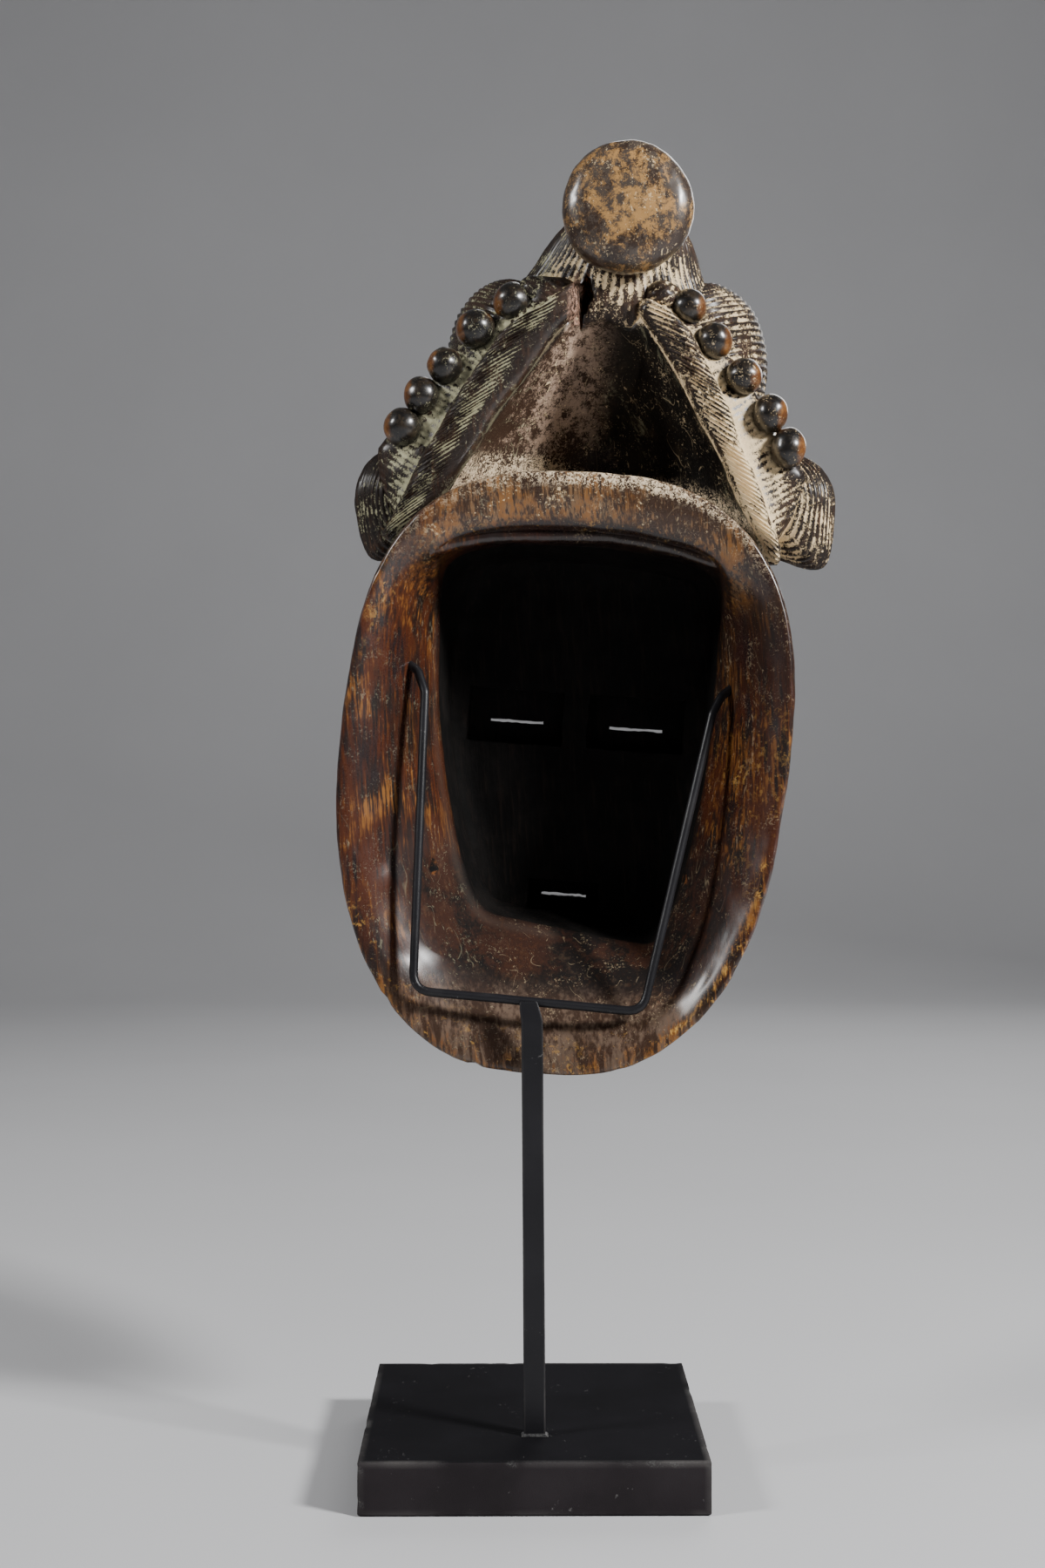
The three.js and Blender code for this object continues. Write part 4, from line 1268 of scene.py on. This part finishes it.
def makeMaskWood(grain, specks, scratches):
    material, shader = newMaterial("mask_wood")
    v = readValues()
    place = objectPlace()
    upright = turned(place, maskRoll)
    slim = turned(upright, stretch=0.4)
    squat = turned(upright, stretch=0.72)
    streaks = useGroup(grain, Place=upright, Size=1.0, Seed=2.0)
    thin, band, pores = streaks["Streaks"], streaks["Bands"], streaks["Pores"]
    patch = noise(38, 5, 0.6, upright)
    wide = noise(14, 3, 0.5, upright)
    clumps = noise(190, 5, 0.68, place, 0.8)
    strings = noise(560, 6, 0.72, place, 1.6)
    crumbs = noise(1100, 4, 0.7, place, 0.4)

    # bare wood under everything, darker and lighter along the grain
    colour = fade(plus(patch, lean(thin, 0.5)), 0.44, 0.64, wood.dark, wood.brown)
    colour = blend(times(steps(thin, 0.54, 0.74), 0.22), colour, wood.rust)

    # the funnel, polished by hands: purple-brown, red in streaks, orange in finer ones
    inner = fade(patch, 0.38, 0.62, wood.purple, wood.dark)
    redShare = times(v.red, steps(plus(band, lean(thin, 0.7)), 0.36, 0.58))
    inner = blend(redShare, inner, wood.red)
    glow = times(plus(times(v.red, 0.75), 0.12), steps(plus(thin, lean(patch, 0.6)), 0.54, 0.72))
    inner = blend(glow, inner, fade(patch, 0.45, 0.6, wood.rust, wood.orange))
    inner = blend(times(steps(wide, 0.53, 0.66), 0.7), inner, wood.dark)
    # low on the funnel near the hollow the wood turns near black with dark red patches: painted shade under the
    # rim, over scuffed wood
    rusty = steps(plus(patch, times(v.red, 0.22), lean(clumps, 0.5)), 0.54, 0.7)
    inner = blend(times(v.scuff, 0.9), inner, blend(rusty, wood.black, wood.rusty))
    lowWood = fade(plus(band, lean(thin, 0.9), lean(patch, 0.6)), 0.38, 0.64, wood.brown, wood.lowTan)
    inner = blend(times(v.pale, 0.8), inner, lowWood)
    scuffed = times(plus(v.scuff, times(v.pale, 0.5)),
                    steps(plus(noise(150, 8, 0.78, place, 0.2), lean(thin, 0.5)), 0.50, 0.66))
    inner = blend(times(scuffed, 0.1), inner, fade(band, 0.45, 0.6, wood.rust, wood.tan))
    colour = blend(v.funnel, colour, inner)
    golden = plus(lean(noise(60, 5, 0.7, upright, 0.5), 1.6), lean(thin, 1.7), times(v.gold, 0.45))
    golden = times(steps(golden, 0.18, 0.62), steps(v.gold, 0.0, 0.75))
    worn = fade(plus(pores, times(off(v.gold, 0.75), 0.8)), 0.42, 0.62, wood.rust, wood.gold)
    colour = blend(golden, colour, fade(patch, 0.4, 0.6, wood.orange, worn))
    chips = useGroup(specks, Place=place, Scale=330.0, Share=0.16, Seed=8.0)["Specks"]
    colour = blend(times(chips, v.gold, steps(clumps, 0.42, 0.6)), colour, wood.gold)

    # the visor, brown with a warm glow and crumbs of kaolin
    visorWood = fade(plus(patch, lean(thin, 1.3), lean(pores, 0.8)), 0.38, 0.68, wood.brown, wood.visorTan)
    glowing = times(steps(plus(band, lean(thin, 0.9), lean(clumps, 0.5)), 0.46, 0.62), steps(patch, 0.36, 0.56),
                    0.85)
    visorWood = blend(glowing, visorWood, wood.orange)
    crumbled = useGroup(specks, Place=place, Scale=600.0, Share=0.10, Seed=9.0)["Specks"]
    visorWood = blend(times(crumbled, steps(clumps, 0.42, 0.6), 0.9), visorWood, wood.kaolin)
    colour = blend(times(v.visor, 0.88), colour, visorWood)

    # the knob, ochre in the middle and dark towards its edge
    mottle = plus(lean(noise(130, 8, 0.8, place, 0.3), 1.8), lean(thin, 0.3), lean(patch, 0.5))
    knobColour = fade(plus(mottle, times(v.middle, 0.15)), 0.0, 0.2, wood.grey, wood.ochre)
    knobColour = fade(plus(mottle, lean(wide, 1.5)), 0.12, 0.42, knobColour, wood.orange)
    blotch = plus(lean(noise(75, 8, 0.82, squat, 0.3), 2.0), lean(crumbs, 0.6), times(v.middle, -0.2))
    knobColour = blend(times(steps(blotch, -0.13, 0.04), 0.92), knobColour, blend(clumps, wood.dark, wood.brown))
    colour = blend(v.knob, colour, knobColour)

    # bosses, near black and worn to orange in places
    bossColour = fade(plus(clumps, lean(strings, 0.8)), 0.44, 0.7, wood.black, wood.olive)
    worn = steps(plus(times(v.outer, 0.7), lean(noise(110, 4, 0.6, place), 0.9)), 0.25, 0.6)
    bossColour = blend(times(worn, 0.8), bossColour, fade(clumps, 0.4, 0.6, wood.rust, wood.orange))
    colour = blend(v.boss, colour, bossColour)

    # the hollow of the headdress: its left wall greyish pink and lighter, painted light for the wall the lamp
    # falls on, and the rest dark as painted shade, with streaks of green kaolin
    nicheShade = fade(noise(60, 8, 0.76, place, 0.1), 0.5, 0.7, wood.black, wood.olive)
    nicheShade = blend(times(steps(noise(34, 8, 0.78, slim, 0.3), 0.56, 0.64), 0.4), nicheShade, wood.greenKaolin)
    nicheLit = fade(plus(noise(170, 8, 0.82, upright, 0.3), lean(wide, 0.8), lean(strings, 0.7)), 0.41, 0.57,
                     wood.brown, wood.pinkish)
    colour = blend(v.niche, colour, blend(v.nicheLeft, nicheShade, nicheLit))

    # kaolin left in the grooves and sheltered places of the hair, in strings and crumbs
    ragged = plus(lean(strings, 1.1), lean(clumps, 0.8))
    level = plus(lean(v.fine, 1.15), times(v.chalky, 0.62), times(v.shelter, 0.28), times(ragged, 2.3), 0.03)
    turns = plus(times(v.combed, combRange * 2 * math.pi / combSpacing), lean(patch, 9.0), lean(clumps, 2.0))
    combLines = times(maths("SINE", turns), v.cap)
    level = plus(level, lean(noise(45, 4, 0.6, place), 0.55), times(combLines, 0.2))
    chalk = times(steps(level, 0.36, 0.57), v.hair)
    flecks = useGroup(specks, Place=slim, Scale=520.0, Share=0.06, Seed=1.0)["Specks"]
    grit = useGroup(specks, Place=place, Scale=900.0, Share=0.10, Seed=4.0)["Specks"]
    share = least(weighed(v, 0.22, hair=0.8, nicheLeft=1.0, niche=0.35, knob=0.55, boss=0.35), 1.0)
    chalk = most(chalk, times(most(times(flecks, 0.9), times(grit, 0.7)), share))
    askew = turned(place, -38, 0.3)
    lines = useGroup(scratches, Place=askew, Scale=95.0, Width=0.007, Seed=5.0)["Lines"]
    chalk = most(chalk, times(lines, weighed(v, scuff=0.12, funnel=0.08, niche=0.4)))
    dusty = plus(lean(clumps, 1.4), lean(strings, 2.8), lean(crumbs, 1.0), times(v.dust, 0.27))
    dusty = times(steps(v.dust, 0.0, 0.7), steps(dusty, 0.14, 0.26))
    chalkTone = fade(plus(v.green, lean(noise(30, 3, 0.5, place), 1.4)), 0.35, 0.75, wood.kaolin, wood.greenKaolin)
    chalkTone = blend(times(steps(crumbs, 0.5, 0.7), 0.4), chalkTone, wood.tan)
    colour = blend(chalk, colour, chalkTone)
    colour = blend(dusty, colour, fade(crumbs, 0.34, 0.5, wood.tan, wood.dust))
    colour = fade(v.crack, 0.2, 0.45, colour, fade(clumps, 0.45, 0.6, wood.soot, wood.rust))
    colour = blend(v.broken, colour, fade(plus(thin, lean(strings, 0.8)), 0.4, 0.6, wood.brown, wood.broken))
    # a grey line along the hollow's left edge: painted highlight
    colour = blend(times(v.bevel, 0.5), colour, wood.grey)
    colour = blend(v.soot, colour, blend(thin, wood.soot, wood.black))
    feed(shader["Base Color"], colour)

    # kaolin, soot and dry wood are matt, and the wax lies where the wood was touched
    powder = most(chalk, dusty)
    dull = weighed(v, 0.3, scuff=0.5, broken=0.4, niche=0.2, hair=0.12, boss=0.04, knob=0.12)
    dull = most(times(powder, 0.92), plus(dull, lean(crumbs, 0.25), lean(patch, 0.2)))
    feed(shader["Roughness"], most(dull, times(v.soot, 0.8)))
    feed(shader["Specular IOR Level"], 0.14)
    bare = weighed(v, hair=0.72, niche=0.85, scuff=0.95, broken=0.9, pale=0.45, lowSheen=0.8)
    bare = most(bare, powder, v.soot)
    polish = times(maths("SUBTRACT", 1.0, bare, clamp=True), plus(lean(patch, 0.8), lean(crumbs, 0.5), 0.95))
    feed(shader["Coat Weight"], least(polish, 1.0))
    feed(shader["Coat Roughness"], 0.24)

    coarse = weighed(v, 0.1, hair=1.3, niche=0.7, dust=1.2, boss=0.3)
    height = plus(times(combLines, -0.9), times(thin, 0.3), times(plus(strings, clumps), coarse),
                  times(crumbs, plus(times(powder, 0.8), 0.15)), times(powder, 0.5))
    addBump(shader, height, 0.7, 0.0005)
    return material


def makeSmokedWood(grain):
    # the inside of the hollow, black with soot and matt, with the gouge's marks just showing
    material, shader = newMaterial("smoked_wood")
    upright = turned(objectPlace(), maskRoll)
    streaks = useGroup(grain, Place=upright, Size=0.8, Seed=7.0)
    cloud = noise(45.0, 5.0, 0.65, upright)
    shade = fade(cloud, 0.42, 0.62, wood.soot, wood.black)
    shade = blend(times(steps(streaks["Streaks"], 0.5, 0.68), 0.5), shade, wood.dark)
    feed(shader["Base Color"], shade)
    feed(shader["Roughness"], ranged(cloud, 0.72, 0.9))
    feed(shader["Specular IOR Level"], 0.12)
    addBump(shader, plus(streaks["Streaks"], times(cloud, 2.0)), 0.6, 0.0006)
    return material


paintTones = {
    # tones for the plinth's upright faces, lighter than its top partly as painted light
    "side": (0.018, 0.0155, 0.0168),
    "brightSide": (0.029, 0.025, 0.027),
    "dust": (0.16, 0.155, 0.15),
    "rubbed": (0.075, 0.07, 0.068),
    "chipsAndGlint": (0.11, 0.11, 0.105),
}


def makePaint(name, colour, roughness, shine, specks, texture):
    # black paint with a fine tooth, rubbed a little and specked with dust
    material, shader = newMaterial(name)
    place = objectPlace()
    tooth = noise(texture, 3.0, 0.6, place)
    cloud = noise(22.0, 4.0, 0.5, place)
    dust = useGroup(specks, Place=place, Scale=420.0, Share=0.02, Seed=3.0)["Specks"]
    shade = fade(cloud, 0.35, 0.7, colour, tuple(1.7 * v for v in colour))
    shade = blend(times(tooth, 0.35), shade, tuple(2.6 * v for v in colour))
    rubbed, chipsAndGlint, sides = readPainted("wear")
    # upright faces lighter: partly their finish, partly painted light
    shade = blend(sides, shade, fade(cloud, 0.25, 0.8, paintTones["side"], paintTones["brightSide"]))
    shade = blend(times(dust, 0.5), shade, paintTones["dust"])
    rubbed = times(rubbed, steps(plus(cloud, times(tooth, 0.4)), 0.55, 0.85))
    shade = blend(rubbed, shade, paintTones["rubbed"])
    # chips, and the upright's foot bead, painted pale; on the bead this is partly painted highlight
    shade = blend(times(chipsAndGlint, steps(tooth, 0.45, 0.65)), shade, paintTones["chipsAndGlint"])
    feed(shader["Base Color"], shade)
    feed(shader["Roughness"], ranged(cloud, roughness - 0.06, roughness + 0.1))
    feed(shader["Specular IOR Level"], shine)
    addBump(shader, tooth, 0.35, 0.0002)
    return material


studio = {
    "size": 12, "bend": 0.9, "wallStart": 2.0, "gap": 0.0005,
    "dark": (0.50, 0.50, 0.51), "light": (0.56, 0.56, 0.57), "sky": (0.55, 0.55, 0.58), "skyStrength": 0.16,
}


def makeStage():
    # a floor that sweeps up into a wall behind, without a corner
    clearSelection()
    bpy.ops.mesh.primitive_grid_add(x_subdivisions=4, y_subdivisions=90, size=studio["size"])
    floor = bpy.context.object
    floor.name = "floor"
    points = readPoints(floor)
    bend = studio["bend"]
    along = points[:, 1] - studio["wallStart"]
    turn = np.clip(along / bend, 0, math.pi / 2)
    past = np.maximum(0, along - bend * math.pi / 2)
    points[:, 2] = np.where(along > 0, bend * (1 - np.cos(turn)) + past, 0) - studio["gap"]
    points[:, 1] = np.where(along > 0, studio["wallStart"] + bend * np.sin(turn), points[:, 1])
    writePoints(floor, points)
    selectOnly(floor)
    bpy.ops.object.shade_smooth()
    material, shader = newMaterial("floor_paint")
    feed(shader["Base Color"], blend(noise(3.0, 5.0, 0.5, objectPlace()), studio["dark"], studio["light"]))
    feed(shader["Roughness"], 0.75)
    floor.data.materials.append(material)
    world = bpy.data.worlds.new("studio")
    world.use_nodes = True
    sky = world.node_tree.nodes["Background"].inputs
    feed(sky["Color"], studio["sky"])
    feed(sky["Strength"], studio["skyStrength"])
    bpy.context.scene.world = world


lampAim = (0, 0, 0.38)
studioLamps = [
    {"name": "right", "place": (1.20, -0.80, 1.12), "size": 0.26, "power": 49},
    {"name": "left", "place": (-1.30, -0.52, 1.16), "size": 0.30, "power": 18},
    {"name": "face", "place": (0.6, 1.6, 1.3), "size": 1.1, "power": 12},
]


def makeLamps():
    for lamp in studioLamps:
        light = bpy.data.lights.new(lamp["name"], "AREA")
        light.energy = lamp["power"]
        light.size = lamp["size"]
        obj = addObject(lamp["name"], light)
        obj.location = lamp["place"]
        obj.rotation_euler = (Vector(lampAim) - obj.location).to_track_quat("-Z", "Y").to_euler()


makeCamera()
makeStage()
makeLamps()
print("camera, floor and lights")
grainGroup = makeGrainGroup()
speckGroup = makeSpeckGroup()
scratchGroup = makeScratchGroup()
mask = makeMask()
triangles = sum(len(p.vertices) - 2 for p in mask.data.polygons)
print("mask carved", len(mask.data.vertices), "points", triangles, "triangles")
mask.data.materials.clear()
mask.data.materials.append(makeMaskWood(grainGroup, speckGroup, scratchGroup))
mask.data.materials.append(makeSmokedWood(grainGroup))
finishMask(mask)
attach(mask, "root")
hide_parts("mask")
plinthPaint = makePaint("plinth_black", (0.0050, 0.0048, 0.0056), 0.8, 0.03, speckGroup, 2600)
steelPaint = makePaint("steel_black", (0.0072, 0.0070, 0.0082), 0.30, 0.26, speckGroup, 3200)
for piece, node, slot, paint in (
    (makePlinth(), "stand_plinth", "plinth_black", plinthPaint),
    (makeUpright(), "stand_upright", "steel_black", steelPaint),
    (makeCradle(), "stand_cradle", "steel_black", steelPaint),
):
    piece.data.materials.clear()
    piece.data.materials.append(paint)
    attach(piece, "root")
    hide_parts(node)
print("stand made")
